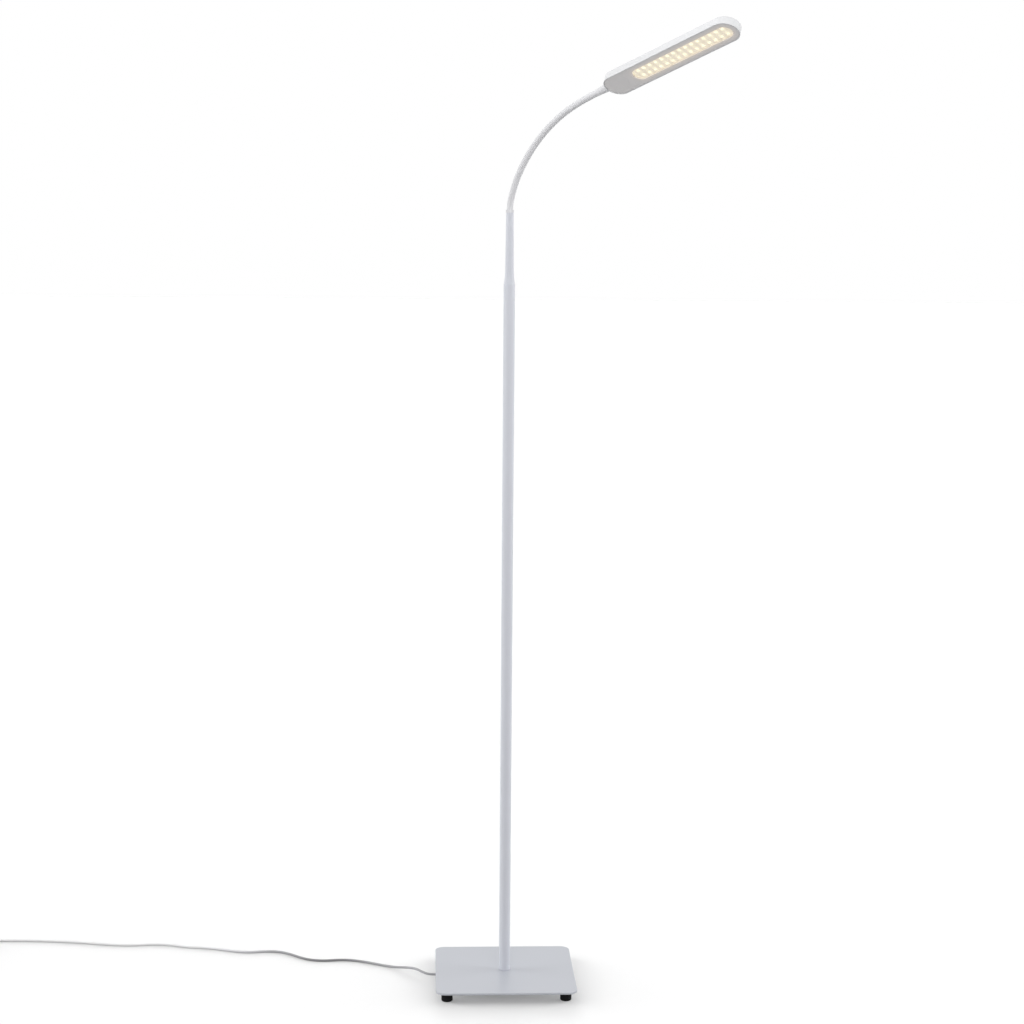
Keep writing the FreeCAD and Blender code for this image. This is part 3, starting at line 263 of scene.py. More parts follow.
def textured(name, group, bump, height, values, **sockets):
    """Material whose colour, roughness and bump come from one of the groups above."""
    material, tree, shader = new_material(name)
    for socket, value in sockets.items():
        shader.inputs[socket.replace("_", " ")].default_value = value
    texture = placed(tree, group, values)
    bumped = add_node(tree, "ShaderNodeBump", Strength=bump, Distance=height)
    tree.links.new(texture.outputs["Height"], bumped.inputs["Height"])
    tree.links.new(bumped.outputs["Normal"], shader.inputs["Normal"])
    tree.links.new(texture.outputs["Colour"], shader.inputs["Base Color"])
    tree.links.new(texture.outputs["Roughness"], shader.inputs["Roughness"])
    return material


def opaque(colour):
    """Colour with full alpha."""
    return (*colour, 1.0)


BUMP = 0.3
METAL_BUMP = 0.1
PEEL_HEIGHT = 0.000006
MOULDED_HEIGHT = 0.000008
STREAK_HEIGHT = 0.00002
FINE_HEIGHT = 0.000003
ZINC = (0.62, 0.62, 0.60)
BRIGHT_METAL = (0.68, 0.68, 0.70)
WOUND_STEEL = (0.50, 0.50, 0.50)
COPPER = (0.80, 0.46, 0.30)
NICKEL = (0.78, 0.75, 0.68)
BLACK_PLASTIC = (0.03, 0.03, 0.032)
SADDLE_PLASTIC = (0.80, 0.80, 0.79)
BOARD_GREEN = (0.04, 0.22, 0.10)
WIRE_RED = (0.50, 0.04, 0.03)


def paint(name, colour, roughness):
    """Sprayed paint with a very fine orange peel."""
    values = {"Colour": opaque(colour), "Clouding": 0.02, "Cloud Scale": 9.0, "Roughness": roughness,
              "Roughness Change": 0.06, "Grain Scale": 1500.0}
    return textured(name, surface_texture(), BUMP, PEEL_HEIGHT, values, Coat_Weight=0.08,
                    Coat_Roughness=0.25)


def moulded(name, colour, roughness, grain=2600.0, depth=MOULDED_HEIGHT, **sockets):
    """Moulded plastic or rubber with a fine eroded texture."""
    values = {"Colour": opaque(colour), "Clouding": 0.05, "Cloud Scale": 60.0, "Roughness": roughness,
              "Roughness Change": 0.12, "Grain Scale": grain}
    return textured(name, surface_texture(), BUMP, depth, values, **sockets)


def metal(name, colour, roughness, stretch=(1.0, 1.0, 0.04), contrast=0.2):
    """Bare metal with fine drawing marks."""
    values = {"Colour": opaque(colour), "Roughness": roughness, "Stretch": stretch, "Contrast": contrast}
    return textured(name, drawn_streaks(), METAL_BUMP, STREAK_HEIGHT, values, Metallic=1.0)


# ---- mesh helpers ---------------------------------------------------------------------------------
def dress(material, *names):
    """Give nodes of the frame their finish."""
    for name in names:
        node = frame["nodes"][name]
        if not node.material_slots:
            node.data.materials.append(None)
        for place in node.material_slots:
            place.link = "OBJECT"
            place.material = material


def piece_from(name, build, *materials):
    """New object from a bmesh that build fills in."""
    mesh = bpy.data.meshes.new(name)
    shape = bmesh.new()
    build(shape)
    bmesh.ops.recalc_face_normals(shape, faces=shape.faces)
    shape.to_mesh(mesh)
    shape.free()
    for material in materials:
        mesh.materials.append(material)
    piece = bpy.data.objects.new(name, mesh)
    bpy.context.scene.collection.objects.link(piece)
    return piece


def ring(shape, centre, across, up, radius, sides):
    """Ring of vertices round a centre."""
    vertices = []
    for i in range(sides):
        angle = 2 * pi * i / sides
        vertices.append(shape.verts.new(centre + (across * cos(angle) + up * sin(angle)) * radius))
    return vertices


def bridge(shape, first, second, smooth=True):
    """Faces between two rings of the same number of vertices."""
    count = len(first)
    for i in range(count):
        j = (i + 1) % count
        face = shape.faces.new((first[i], first[j], second[j], second[i]))
        face.smooth = smooth


def sharpen(shape, rings):
    """Mark the edges along each ring as sharp."""
    for loop in rings:
        for first, second in zip(loop, loop[1:] + loop[:1]):
            edge = shape.edges.get((first, second))
            if edge:
                edge.smooth = False


# ---- camera ---------------------------------------------------------------------------------------
SENSOR_WIDTH = 36.0
NEAR_CLIP = 0.05
FAR_CLIP = 200.0


class LAMP_OT_camera(bpy.types.Operator):
    """Put the camera at the photographed angle"""
    bl_idname = "lamp.camera"
    bl_label = "Camera"

    def execute(self, context):
        studio = context.scene.lamp_studio
        data = bpy.data.cameras.new("camera")
        data.sensor_width = SENSOR_WIDTH
        data.lens = studio.lens
        data.clip_start = NEAR_CLIP
        data.clip_end = FAR_CLIP
        camera = bpy.data.objects.new("camera", data)
        turn = (Matrix.Rotation(-studio.heading, 4, "Z")
                @ Matrix.Rotation(pi / 2 - studio.pitch, 4, "X")
                @ Matrix.Rotation(studio.roll, 4, "Z"))
        camera.matrix_world = Matrix.Translation(studio.place) @ turn
        context.scene.collection.objects.link(camera)
        context.scene.camera = camera
        return {"FINISHED"}


# ---- loose cord -----------------------------------------------------------------------------------
PLATE_EDGE_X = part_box("base_plate")[0].x
CORD_EXIT = Vector((PLATE_EDGE_X + 2 * MM, 4 * MM, 7 * MM))
FLOOR_LINE = 1.8
COIL_ENTRY_Y = 183.0
COIL_END_LENGTH = 4.0
COIL_DISTANCE = 702.0
# How far out from the exit, how far back, and how high each point of the laid-out stretch is, in mm
CORD_POINTS = [
    (12.5, 4.0, 7.3), (22.5, 12.5, 8.8), (29.5, 23.0, 8.8), (37.0, 33.0, 7.0), (47.0, 42.0, 4.6),
    (61.5, 50.0, 2.2), (80.0, 60.0, FLOOR_LINE), (101.0, 72.5, FLOOR_LINE),
    (121.0, 82.0, FLOOR_LINE), (142.0, 86.0, FLOOR_LINE), (165.0, 81.5, FLOOR_LINE),
    (186.0, 84.5, FLOOR_LINE), (203.0, 95.5, FLOOR_LINE), (219.0, 112.0, FLOOR_LINE),
    (238.0, 124.5, FLOOR_LINE), (259.0, 126.0, FLOOR_LINE), (280.0, 121.5, FLOOR_LINE),
    (302.0, 125.5, FLOOR_LINE), (326.0, 136.0, FLOOR_LINE), (352.0, 144.0, FLOOR_LINE),
    (380.0, 147.5, FLOOR_LINE), (405.0, 159.0, FLOOR_LINE), (432.0, 162.0, FLOOR_LINE),
    (464.0, 157.0, FLOOR_LINE), (500.0, 161.0, FLOOR_LINE), (542.0, 172.0, FLOOR_LINE),
    (594.0, 180.0, FLOOR_LINE), (644.0, COIL_ENTRY_Y, FLOOR_LINE),
    (COIL_DISTANCE - COIL_END_LENGTH, COIL_ENTRY_Y, FLOOR_LINE)]
COIL_INNER_RADIUS = 14.0
COIL_PITCH = 3.95
COIL_LAYER_RISE = 3.95
COIL_TURNS_PER_LAYER = 3.5
COIL_CLIMB_TURNS = 0.5
COIL_LAST_TURN = 0.25
COIL_TURNS = 2 * COIL_TURNS_PER_LAYER + COIL_LAST_TURN
COIL_POINTS_PER_TURN = 16
# Painted shade and highlight along the cord: how far left of the middle, in metres, and how pale the vinyl
# is painted there against its own colour. The dark and light stretches stand in for the shading of the
# twisting flat lead, and the pale far end for its fading into the white
CORD_PAINTED_SHADE = [(0.12, 1.0), (0.19, 1.1), (0.24, 0.5), (0.30, 0.7), (0.36, 1.3), (0.41, 2.0), (0.46, 2.3)]
PALEST_PAINTED_VINYL = 0.92


def coil_point(turns):
    """Point of the coil after so many turns: in on the floor, up, and out again, in metres."""
    outer = COIL_INNER_RADIUS + COIL_PITCH * COIL_TURNS_PER_LAYER
    past_middle = turns - COIL_TURNS_PER_LAYER
    radius = COIL_INNER_RADIUS + COIL_PITCH * abs(past_middle)
    share = min(max(past_middle / COIL_CLIMB_TURNS + 0.5, 0), 1)
    height = FLOOR_LINE + COIL_LAYER_RISE * share * share * (3 - 2 * share)
    angle = 2 * pi * turns + pi / 2
    centre = Vector((CORD_EXIT.x - COIL_DISTANCE * MM, (COIL_ENTRY_Y - outer) * MM, 0))
    return centre + Vector((radius * cos(angle), radius * sin(angle), height)) * MM


def cord_points():
    """Control points of the whole cord, from the strain relief to the adapter."""
    points = [CORD_EXIT.copy()]
    points += [Vector((CORD_EXIT.x - out * MM, y * MM, z * MM)) for out, y, z in CORD_POINTS]
    count = round(COIL_TURNS * COIL_POINTS_PER_TURN)
    points += [coil_point(COIL_TURNS * i / count) for i in range(count + 1)]
    end = coil_point(COIL_TURNS)
    points.append(end - Vector((0, COIL_END_LENGTH * MM, 0)))
    return points


def paint_shade_along_cord(tree, colour):
    """Paint shade and highlight on the vinyl, changing with the distance from the base."""
    axes = add_node(tree, "ShaderNodeSeparateXYZ")
    tree.links.new(add_node(tree, "ShaderNodeTexCoord").outputs["Object"], axes.inputs[0])
    ramp = add_node(tree, "ShaderNodeValToRGB")
    ramp.color_ramp.interpolation = "B_SPLINE"
    stops = ramp.color_ramp.elements
    stops.remove(stops[1])
    for place, (reach, tone) in enumerate(CORD_PAINTED_SHADE):
        stop = stops[0] if place == 0 else stops.new(reach)
        stop.position = reach
        stop.color = opaque([min(part * tone, PALEST_PAINTED_VINYL) for part in colour])
    tree.links.new(sums(tree, "MULTIPLY", axes.outputs["X"], -1.0), ramp.inputs["Fac"])
    texture = next(node for node in tree.nodes if node.type == "GROUP")
    tree.links.new(ramp.outputs["Color"], texture.inputs["Colour"])


class LAMP_OT_cord(bpy.types.Operator):
    """Lay the loose cord out and coil the rest"""
    bl_idname = "lamp.cord"
    bl_label = "Cord"

    def execute(self, context):
        sizes = context.scene.lamp_sizes
        points = cord_points()
        curve = bpy.data.curves.new("loose_cord", "CURVE")
        curve.dimensions = "3D"
        curve.bevel_depth = sizes.cord_diameter / 2
        curve.bevel_resolution = 5
        curve.resolution_u = 8
        curve.use_fill_caps = True
        spline = curve.splines.new("NURBS")
        spline.points.add(len(points) - 1)
        for place, point in zip(spline.points, points):
            place.co = (*point, 1.0)
        spline.order_u = 3
        spline.use_endpoint_u = True
        colours = context.scene.lamp_colours
        vinyl = moulded("cord vinyl", colours.cord, 0.42, 1200.0, PEEL_HEIGHT)
        # The vinyl gets painted shade and highlight along the cord.
        paint_shade_along_cord(vinyl.node_tree, colours.cord)
        curve.materials.append(vinyl)
        cord = bpy.data.objects.new("loose_cord", curve)
        context.scene.collection.objects.link(cord)
        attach(cord, "root")
        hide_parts("cord_run", "cord_coil")
        dress(bpy.data.materials["cord vinyl"], "strain_relief", "pole_lead")
        return {"FINISHED"}


# ---- base and pole --------------------------------------------------------------------------------
class LAMP_OT_base(bpy.types.Operator):
    """Finish the base plate, its feet and what is screwed to it"""
    bl_idname = "lamp.base"
    bl_label = "Base"

    def execute(self, context):
        colours = context.scene.lamp_colours
        dress(paint("base paint", colours.base, 0.36), "base_plate")
        dress(moulded("foot rubber", colours.feet, 0.7, Specular_IOR_Level=0.15),
              *["foot_%d" % i for i in range(1, 5)])
        dress(metal("zinc plate", ZINC, 0.34),
              "base_screws", "base_stud", "base_washer", "base_nut")
        dress(moulded("black plastic", BLACK_PLASTIC, 0.5), "cable_bush", "lead_clamp")
        return {"FINISHED"}


class LAMP_OT_pole(bpy.types.Operator):
    """Finish the pole, its reducer and the neck's holder"""
    bl_idname = "lamp.pole"
    bl_label = "Pole"

    def execute(self, context):
        colours = context.scene.lamp_colours
        dress(paint("pole paint", colours.pole, 0.32),
              "pole_lower", "pole_middle", "pole_upper", "neck_cone", "neck_holder")
        dress(metal("bright ring", BRIGHT_METAL, 0.3, (0.04, 0.04, 1.0), 0.1), "neck_collar")
        dress(bpy.data.materials["zinc plate"], "pole_insert", "joiner_lower", "joiner_upper")
        return {"FINISHED"}


# ---- gooseneck ------------------------------------------------------------------------------------
SLEEVE_END_GAP = 0.3 * MM


def neck_line(step):
    """Points and directions along the neck's arcs, and how far along each hinge is."""
    places = [Vector(JOINTS["neck_direction"]["pos_m"])]
    places += [Vector(JOINTS[name]["pos_m"]) for name in BEND_NAMES]
    places.append(Vector(JOINTS["head_turn"]["pos_m"]))
    side = Vector(JOINTS["neck_bend"]["axis"]).normalized()
    direction = Vector((0, 0, 1))
    line = [(0.0, places[0], direction)]
    marks = [0.0]
    for start, finish in zip(places, places[1:]):
        chord = finish - start
        unit = chord.normalized()
        half = direction.angle(unit)
        length = chord.length * half / sin(half)
        count = max(2, round(length / step))
        for i in range(1, count + 1):
            share = i / count
            turned = Matrix.Rotation(2 * half * share, 3, side) @ direction
            reach = chord.length * sin(half * share) / sin(half)
            heading = Matrix.Rotation(half * share, 3, side) @ direction
            line.append((marks[-1] + length * share, start + heading * reach, turned))
        marks.append(marks[-1] + length)
        direction = 2 * unit.dot(direction) * unit - direction
    return line, marks, side


def at_length(line, wanted):
    """Point and direction of the neck's line at a length along it."""
    if wanted <= 0:
        return line[0][1] + line[0][2] * wanted, line[0][2]
    for (low, p, d), (high, q, e) in zip(line, line[1:]):
        if wanted <= high + 1e-9:
            share = (wanted - low) / (high - low)
            return p.lerp(q, share), d.lerp(e, share).normalized()
    return line[-1][1] + line[-1][2] * (wanted - line[-1][0]), line[-1][2]


def sleeve_shape(line, side, begin, end, sizes):
    """Hollow tube along the neck's line between two lengths."""
    def build(shape):
        count = max(4, round((end - begin) / sizes.sleeve_step))
        rings = {}
        flare_start = line[-1][0] - sizes.flare_length
        for radius in (sizes.sleeve_diameter / 2, sizes.sleeve_diameter / 2 - sizes.sleeve_wall):
            rings[radius] = []
            for i in range(count + 1):
                reach = begin + (end - begin) * i / count
                point, direction = at_length(line, reach)
                share = max(reach - flare_start, 0.0) / sizes.flare_length
                growth = share * (sizes.flare_diameter - sizes.sleeve_diameter) / 2
                rings[radius].append(ring(shape, point, side, direction.cross(side), radius + growth,
                                          sizes.sleeve_sides))
            for first, second in zip(rings[radius], rings[radius][1:]):
                bridge(shape, first, second)
        outer, inner = rings.values()
        for mark in (0, -1):
            bridge(shape, outer[mark], inner[mark], smooth=False)
            sharpen(shape, (outer[mark], inner[mark]))
    return build


class LAMP_OT_gooseneck(bpy.types.Operator):
    """Make the smooth sleeve, one piece across each hinge, and finish what is inside it"""
    bl_idname = "lamp.gooseneck"
    bl_label = "Gooseneck"

    def execute(self, context):
        colours = context.scene.lamp_colours
        sizes = context.scene.lamp_sizes
        silicone = moulded("neck silicone", colours.sleeve, 0.42, 2400.0, FINE_HEIGHT)
        line, marks, side = neck_line(sizes.sleeve_step)
        hidden_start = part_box("neck_sleeve_1")[0].z - marks[0] - JOINTS["neck_direction"]["pos_m"][2]
        middles = [(a + b) / 2 for a, b in zip(marks[1:], marks[2:])]
        cuts = [hidden_start] + middles + [marks[-1] - SLEEVE_END_GAP]
        for number in range(1, LINKS + 1):
            begin, end = cuts[number - 1:number + 1]
            sleeve = piece_from("gooseneck_%d" % number, sleeve_shape(line, side, begin, end, sizes),
                                silicone)
            if number < LINKS:
                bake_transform(sleeve)
            else:
                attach(sleeve, "link_%d" % number)
            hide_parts("neck_sleeve_%d" % number)
        dress(metal("wound steel", WOUND_STEEL, 0.4, (1.0, 1.0, 6.0), 0.5),
              *["neck_core_%d" % i for i in range(1, LINKS + 1)])
        dress(bpy.data.materials["cord vinyl"], *["neck_lead_%d" % i for i in range(1, LINKS + 1)])
        dress(bpy.data.materials["zinc plate"], "neck_ferrule")
        return {"FINISHED"}


# ---- head, in its own millimetres: along +X, its underside at height 0 ------------------------------
HEAD_ROLL = radians(-27.6)
HEAD_LENGTH = 235.0
HEAD_WIDTH = 37.6
HEAD_MIDDLE = 5.6
COVER_INSET = 1.3
COVER_LOW = 0.3
COVER_TOP = 1.5
COVER_ROUND = 0.35
WINDOW_START = 52.0
WINDOW_END = 226.0
WINDOW_WIDTH = 20.8
BOARD_FACE = 3.5
LAMP_COUNT = 15
LAMP_PITCH = 10.9
LAMP_ROW_SPACING = 10.4
LAMP_SIZE = (3.5, 2.8, 0.8)
LAMP_RIM = 0.45
LAMP_DISH = 0.25
LAMP_DISH_RUN = 0.15
LAMP_EDGE = 0.1
END_SIDES = 28
PAINTED_GLOW_REACH = 2.8
# Reach and squeeze of the painted pool of light round each lamp on the board
PAINTED_HALO_REACH = 3.2
PAINTED_HALO_SQUEEZE = 0.55
PANE_TINT = (0.98, 0.97, 0.95)
PANE_IOR = 1.49
DARK = (0.0, 0.0, 0.0)
# Colour and strength of the painted glow that the cover gives off round the window
COVER_PAINTED_GLOW = (1.0, 0.62, 0.25)
COVER_PAINTED_GLOW_STRENGTH = 0.11
# How strongly each lit surface shines against the lamps' strength, and its own colour unlit; the lamps and
# their packages give the lamps' light, the window's wall, the frame and the board give off painted glow
EDGE_PAINTED_SHINE, EDGE_UNLIT = 0.42, (0.60, 0.56, 0.52)
PACKAGE_SHINE, PACKAGE_UNLIT = 0.85, (0.60, 0.57, 0.48)
LAMP_SHINE, LAMP_UNLIT = 1.15, (0.60, 0.52, 0.34)
FRAME_PAINTED_SHINE, FRAME_UNLIT = 0.5, (0.56, 0.52, 0.46)
BOARD_PAINTED_SHINE, BOARD_UNLIT = 0.8, (0.56, 0.51, 0.42)
# Painted glow of the board between the lamps, against the glow colour
PAINTED_GLOW_BETWEEN_LAMPS = 0.58


def head_place():
    """Matrix from the head's own millimetres to the frame's metres."""
    along = Vector(JOINTS["head_turn"]["axis"]).normalized()
    level = Vector(JOINTS["neck_bend"]["axis"]).normalized()
    across = Matrix.Rotation(HEAD_ROLL, 3, along) @ level
    turn = Matrix((along, across, along.cross(across))).transposed().to_4x4()
    return (Matrix.Translation(JOINTS["head_turn"]["pos_m"]) @ turn @ Matrix.Scale(MM, 4)
            @ Matrix.Translation((0, 0, -HEAD_MIDDLE)))


def stadium_ring(shape, start, end, width, height):
    """Ring of vertices along the edge of a plate with round ends."""
    radius = width / 2
    vertices = []
    for middle, first in ((end - radius, -pi / 2), (start + radius, pi / 2)):
        for i in range(END_SIDES + 1):
            angle = first + pi * i / END_SIDES
            vertices.append(shape.verts.new((middle + radius * cos(angle), radius * sin(angle), height)))
    return vertices


def cover_shape(shape):
    """Underside cover with rounded edges; the window's wall takes the second material, which gives off
    painted glow.
    """
    middle, half = (WINDOW_START + WINDOW_END) / 2, (WINDOW_END - WINDOW_START) / 2

    def outer(inset, height):
        reach = COVER_INSET + inset
        return stadium_ring(shape, reach, HEAD_LENGTH - reach, HEAD_WIDTH - 2 * reach, height)

    def opening(growth, height):
        return stadium_ring(shape, middle - half - growth, middle + half + growth,
                            WINDOW_WIDTH + 2 * growth, height)

    rings = [outer(0.0, COVER_TOP), outer(0.0, COVER_LOW + COVER_ROUND), outer(COVER_ROUND, COVER_LOW),
             opening(COVER_ROUND, COVER_LOW), opening(0.0, COVER_LOW + COVER_ROUND),
             opening(0.0, COVER_TOP)]
    for first, second in zip(rings, rings[1:] + rings[:1]):
        bridge(shape, first, second)
    sharpen(shape, rings)
    wall = set(rings[4]) | set(rings[5])
    for face in shape.faces:
        if all(vertex in wall for vertex in face.verts):
            face.material_index = 1
    shape.transform(head_place())


def lamp_places():
    """Middle of each lamp on the board."""
    middle = (WINDOW_START + WINDOW_END) / 2
    return [(middle + (i - (LAMP_COUNT - 1) / 2) * LAMP_PITCH, side * LAMP_ROW_SPACING / 2)
            for side in (-1, 1) for i in range(LAMP_COUNT)]


def lamps_shape(shape):
    """Lamp packages: a pale body with a dished, glowing face, which takes the second material."""
    length, width, height = LAMP_SIZE
    low = BOARD_FACE - height
    for x, y in lamp_places():
        def square(inset, z):
            a, b = length / 2 - inset, width / 2 - inset
            return [shape.verts.new((x + sx * a, y + sy * b, z))
                    for sx, sy in ((-1, -1), (1, -1), (1, 1), (-1, 1))]

        levels = [square(0.0, BOARD_FACE), square(0.0, low + LAMP_EDGE), square(LAMP_EDGE, low),
                  square(LAMP_RIM, low), square(LAMP_RIM + LAMP_DISH_RUN, low + LAMP_DISH)]
        for first, second in zip(levels, levels[1:]):
            bridge(shape, first, second, smooth=False)
        shape.faces.new(levels[0])
        shape.faces.new(levels[-1]).material_index = 1
    shape.transform(head_place())


def window_reaches(tree):
    """How far along and across the head a place is from the window's middle, in millimetres."""
    place = head_place()
    turn = place.to_3x3().normalized()
    offset = add_node(tree, "ShaderNodeVectorMath", operation="SUBTRACT")
    offset.inputs[1].default_value = place @ Vector(((WINDOW_START + WINDOW_END) / 2, 0, 0))
    tree.links.new(add_node(tree, "ShaderNodeTexCoord").outputs["Object"], offset.inputs[0])
    reaches = []
    for axis in (turn.col[0], turn.col[1]):
        dot = add_node(tree, "ShaderNodeVectorMath", operation="DOT_PRODUCT")
        dot.inputs[1].default_value = axis / MM
        tree.links.new(offset.outputs[0], dot.inputs[0])
        reaches.append(dot.outputs["Value"])
    return reaches


def from_both(tree, first, second):
    """Distance made up of a reach along and a reach across."""
    squares = sums(tree, "MULTIPLY_ADD", first, first, sums(tree, "MULTIPLY", second, second))
    return sums(tree, "SQRT", squares, None)


def painted_glow_round_window(tree):
    """How strongly a place on the cover gives off painted glow round the window: most at its edge."""
    along, across = window_reaches(tree)
    straight = (WINDOW_END - WINDOW_START - WINDOW_WIDTH) / 2
    past = sums(tree, "MAXIMUM", sums(tree, "SUBTRACT", sums(tree, "ABSOLUTE", along, None), straight), 0.0)
    distance = sums(tree, "SUBTRACT", from_both(tree, past, across), WINDOW_WIDTH / 2)
    return sums(tree, "EXPONENT", sums(tree, "DIVIDE", distance, -PAINTED_GLOW_REACH), None)


def painted_halo_round_lamps(tree):
    """How strongly a place on the board gives off its painted pool of light: most beside a lamp."""
    along, across = window_reaches(tree)
    nearest = sums(tree, "PINGPONG", along, LAMP_PITCH / 2)
    from_row = sums(tree, "SUBTRACT", sums(tree, "ABSOLUTE", across, None), LAMP_ROW_SPACING / 2)
    spread = from_both(tree, nearest, sums(tree, "MULTIPLY", from_row, PAINTED_HALO_SQUEEZE))
    distance = sums(tree, "DIVIDE", spread, PAINTED_HALO_REACH)
    return sums(tree, "EXPONENT", sums(tree, "MULTIPLY", sums(tree, "MULTIPLY", distance, distance), -1.0),
                None)


def shine(material, mask, dark, bright, strength):
    """Let a mask choose between two colours of painted light that the material gives off."""
    tree = material.node_tree
    shader = tree.nodes["Principled BSDF"]
    mix = add_node(tree, "ShaderNodeMix", data_type="RGBA")
    mix.inputs[6].default_value = opaque(dark)
    mix.inputs[7].default_value = opaque(bright)
    tree.links.new(mask(tree), mix.inputs["Factor"])
    tree.links.new(mix.outputs[2], shader.inputs["Emission Color"])
    shader.inputs["Emission Strength"].default_value = strength


def lit_material(name, colour, strength, unlit):
    """Surface that glows, clouded a little."""
    material, tree, shader = new_material(name)
    texture = placed(tree, surface_texture(), {"Colour": opaque(colour), "Clouding": 0.08,
                                               "Cloud Scale": 300.0, "Roughness": 0.4})
    tree.links.new(texture.outputs["Colour"], shader.inputs["Emission Color"])
    tree.links.new(texture.outputs["Roughness"], shader.inputs["Roughness"])
    shader.inputs["Base Color"].default_value = opaque(unlit)
    shader.inputs["Emission Strength"].default_value = strength
    return material


def clear_pane():
    """Clear pane over the lamps."""
    material, tree, shader = new_material("clear pane")
    texture = placed(tree, surface_texture(), {"Colour": opaque(PANE_TINT), "Clouding": 0.01,
                                               "Roughness": 0.06, "Roughness Change": 0.02})
    tree.links.new(texture.outputs["Colour"], shader.inputs["Base Color"])
    tree.links.new(texture.outputs["Roughness"], shader.inputs["Roughness"])
    shader.inputs["Transmission Weight"].default_value = 1.0
    shader.inputs["IOR"].default_value = PANE_IOR
    return material


class LAMP_OT_head(bpy.types.Operator):
    """Finish the head's housing and its inner pieces"""
    bl_idname = "lamp.head"
    bl_label = "Head"

    def execute(self, context):
        colours = context.scene.lamp_colours
        dress(paint("head paint", colours.head, 0.34), "head_housing")
        dress(moulded("saddle plastic", SADDLE_PLASTIC, 0.5), "neck_saddle")
        dress(moulded("board resist", BOARD_GREEN, 0.35), "driver_board")
        dress(metal("copper plate", COPPER, 0.3), "touch_pad")
        dress(moulded("wire vinyl", WIRE_RED, 0.4), "head_wires")
        dress(bpy.data.materials["zinc plate"], "head_screws")
        return {"FINISHED"}


class LAMP_OT_light_window(bpy.types.Operator):
    """Make the underside cover and the lit lamps, and finish the board, frame and pane; the cover, the
    window's wall, the board and the frame give off painted glow
    """
    bl_idname = "lamp.light_window"
    bl_label = "Light window"

    def execute(self, context):
        colours = context.scene.lamp_colours
        studio = context.scene.lamp_studio
        plastic = moulded("bezel plastic", colours.bezel, 0.24, 1800.0, FINE_HEIGHT)
        # The cover's plastic gives off painted glow round the window.
        shine(plastic, painted_glow_round_window, DARK, COVER_PAINTED_GLOW, COVER_PAINTED_GLOW_STRENGTH)
        # The window's wall gives off painted glow.
        edge = lit_material("lit edge", colours.painted_glow, EDGE_PAINTED_SHINE * studio.lit, EDGE_UNLIT)
        cover = piece_from("window_cover", cover_shape, plastic, edge)
        body = lit_material("lit package", colours.light, PACKAGE_SHINE * studio.lit, PACKAGE_UNLIT)
        face = lit_material("lit lamps", colours.light, LAMP_SHINE * studio.lit, LAMP_UNLIT)
        lamps = piece_from("lamps", lamps_shape, body, face)
        for piece, node, slot in ((cover, "bezel_cover", "bezel_paint"), (lamps, "leds", "led_lens")):
            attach(piece, "head")
            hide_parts(node)
        board = moulded("lit board", BOARD_UNLIT, 0.4)
        # The board gives off a painted pool of light round each lamp.
        shine(board, painted_halo_round_lamps, [PAINTED_GLOW_BETWEEN_LAMPS * part for part in colours.painted_glow],
              colours.light, BOARD_PAINTED_SHINE * studio.lit)
        dress(board, "led_board")
        # The reflector frame gives off painted glow.
        dress(lit_material("lit frame", colours.painted_glow, FRAME_PAINTED_SHINE * studio.lit, FRAME_UNLIT),
              "reflector_frame")
        dress(clear_pane(), "window_lens")
        return {"FINISHED"}


# ---- wall adapter ---------------------------------------------------------------------------------
class LAMP_OT_adapter(bpy.types.Operator):
    """Finish the wall adapter"""
    bl_idname = "lamp.adapter"
    bl_label = "Adapter"

    def execute(self, context):
        colours = context.scene.lamp_colours
        dress(moulded("adapter plastic", colours.adapter, 0.5, 1500.0, 0.00006), "plug_body")
        dress(metal("pin nickel", NICKEL, 0.22), "plug_pins")
        return {"FINISHED"}


# ---- studio ---------------------------------------------------------------------------------------
FLOOR_REACH = 60.0
FLOOR_SEEN = (0.675, 0.675, 0.675)
FLOOR_PLAIN = (0.42, 0.42, 0.42)
FLOOR_LIFT = 0.21
WHITE = (1.0, 1.0, 1.0, 1.0)
# Name, the setting that gives its strength, then spread, elevation and azimuth in degrees
SIDE_LIGHTS = [("left light", "sides", 40, 26, -95), ("right light", "sides", 40, 26, 95)]
FLOOR_LIGHTS = [("back shade", "behind", 24, 11, 180), ("left shade", "beside", 24, 13, -115),
                ("right shade", "beside", 24, 13, 115)]
SOFT_BOX_SIZE = 1.0
SOFT_BOX_PLACE = Vector((0.0, -1.3, 1.9))
SOFT_BOX_TARGET = Vector((0.0, 0.0, 1.0))


def seen_directly(tree):
    """One where a ray comes from the camera, a reflection or through glass."""
    path = add_node(tree, "ShaderNodeLightPath")
    either = sums(tree, "MAXIMUM", path.outputs["Is Camera Ray"], path.outputs["Is Glossy Ray"])
    return sums(tree, "MAXIMUM", either, path.outputs["Is Transmission Ray"])


def floor_material():
    """Pale floor that reads as white where nothing shades it."""
    material, tree, _ = new_material("studio floor")
    tree.nodes.clear()
    link = tree.links.new
    output = add_node(tree, "ShaderNodeOutputMaterial")
    lit = add_node(tree, "ShaderNodeBsdfDiffuse", Color=opaque(FLOOR_SEEN))
    plain = add_node(tree, "ShaderNodeBsdfDiffuse", Color=opaque(FLOOR_PLAIN))
    lift = add_node(tree, "ShaderNodeEmission", Color=WHITE, Strength=FLOOR_LIFT)
    seen = add_node(tree, "ShaderNodeAddShader")
    choice = add_node(tree, "ShaderNodeMixShader")
    link(lit.outputs[0], seen.inputs[0])
    link(lift.outputs[0], seen.inputs[1])
    link(seen_directly(tree), choice.inputs[0])
    link(plain.outputs[0], choice.inputs[1])
    link(seen.outputs[0], choice.inputs[2])
    link(choice.outputs[0], output.inputs["Surface"])
    return material


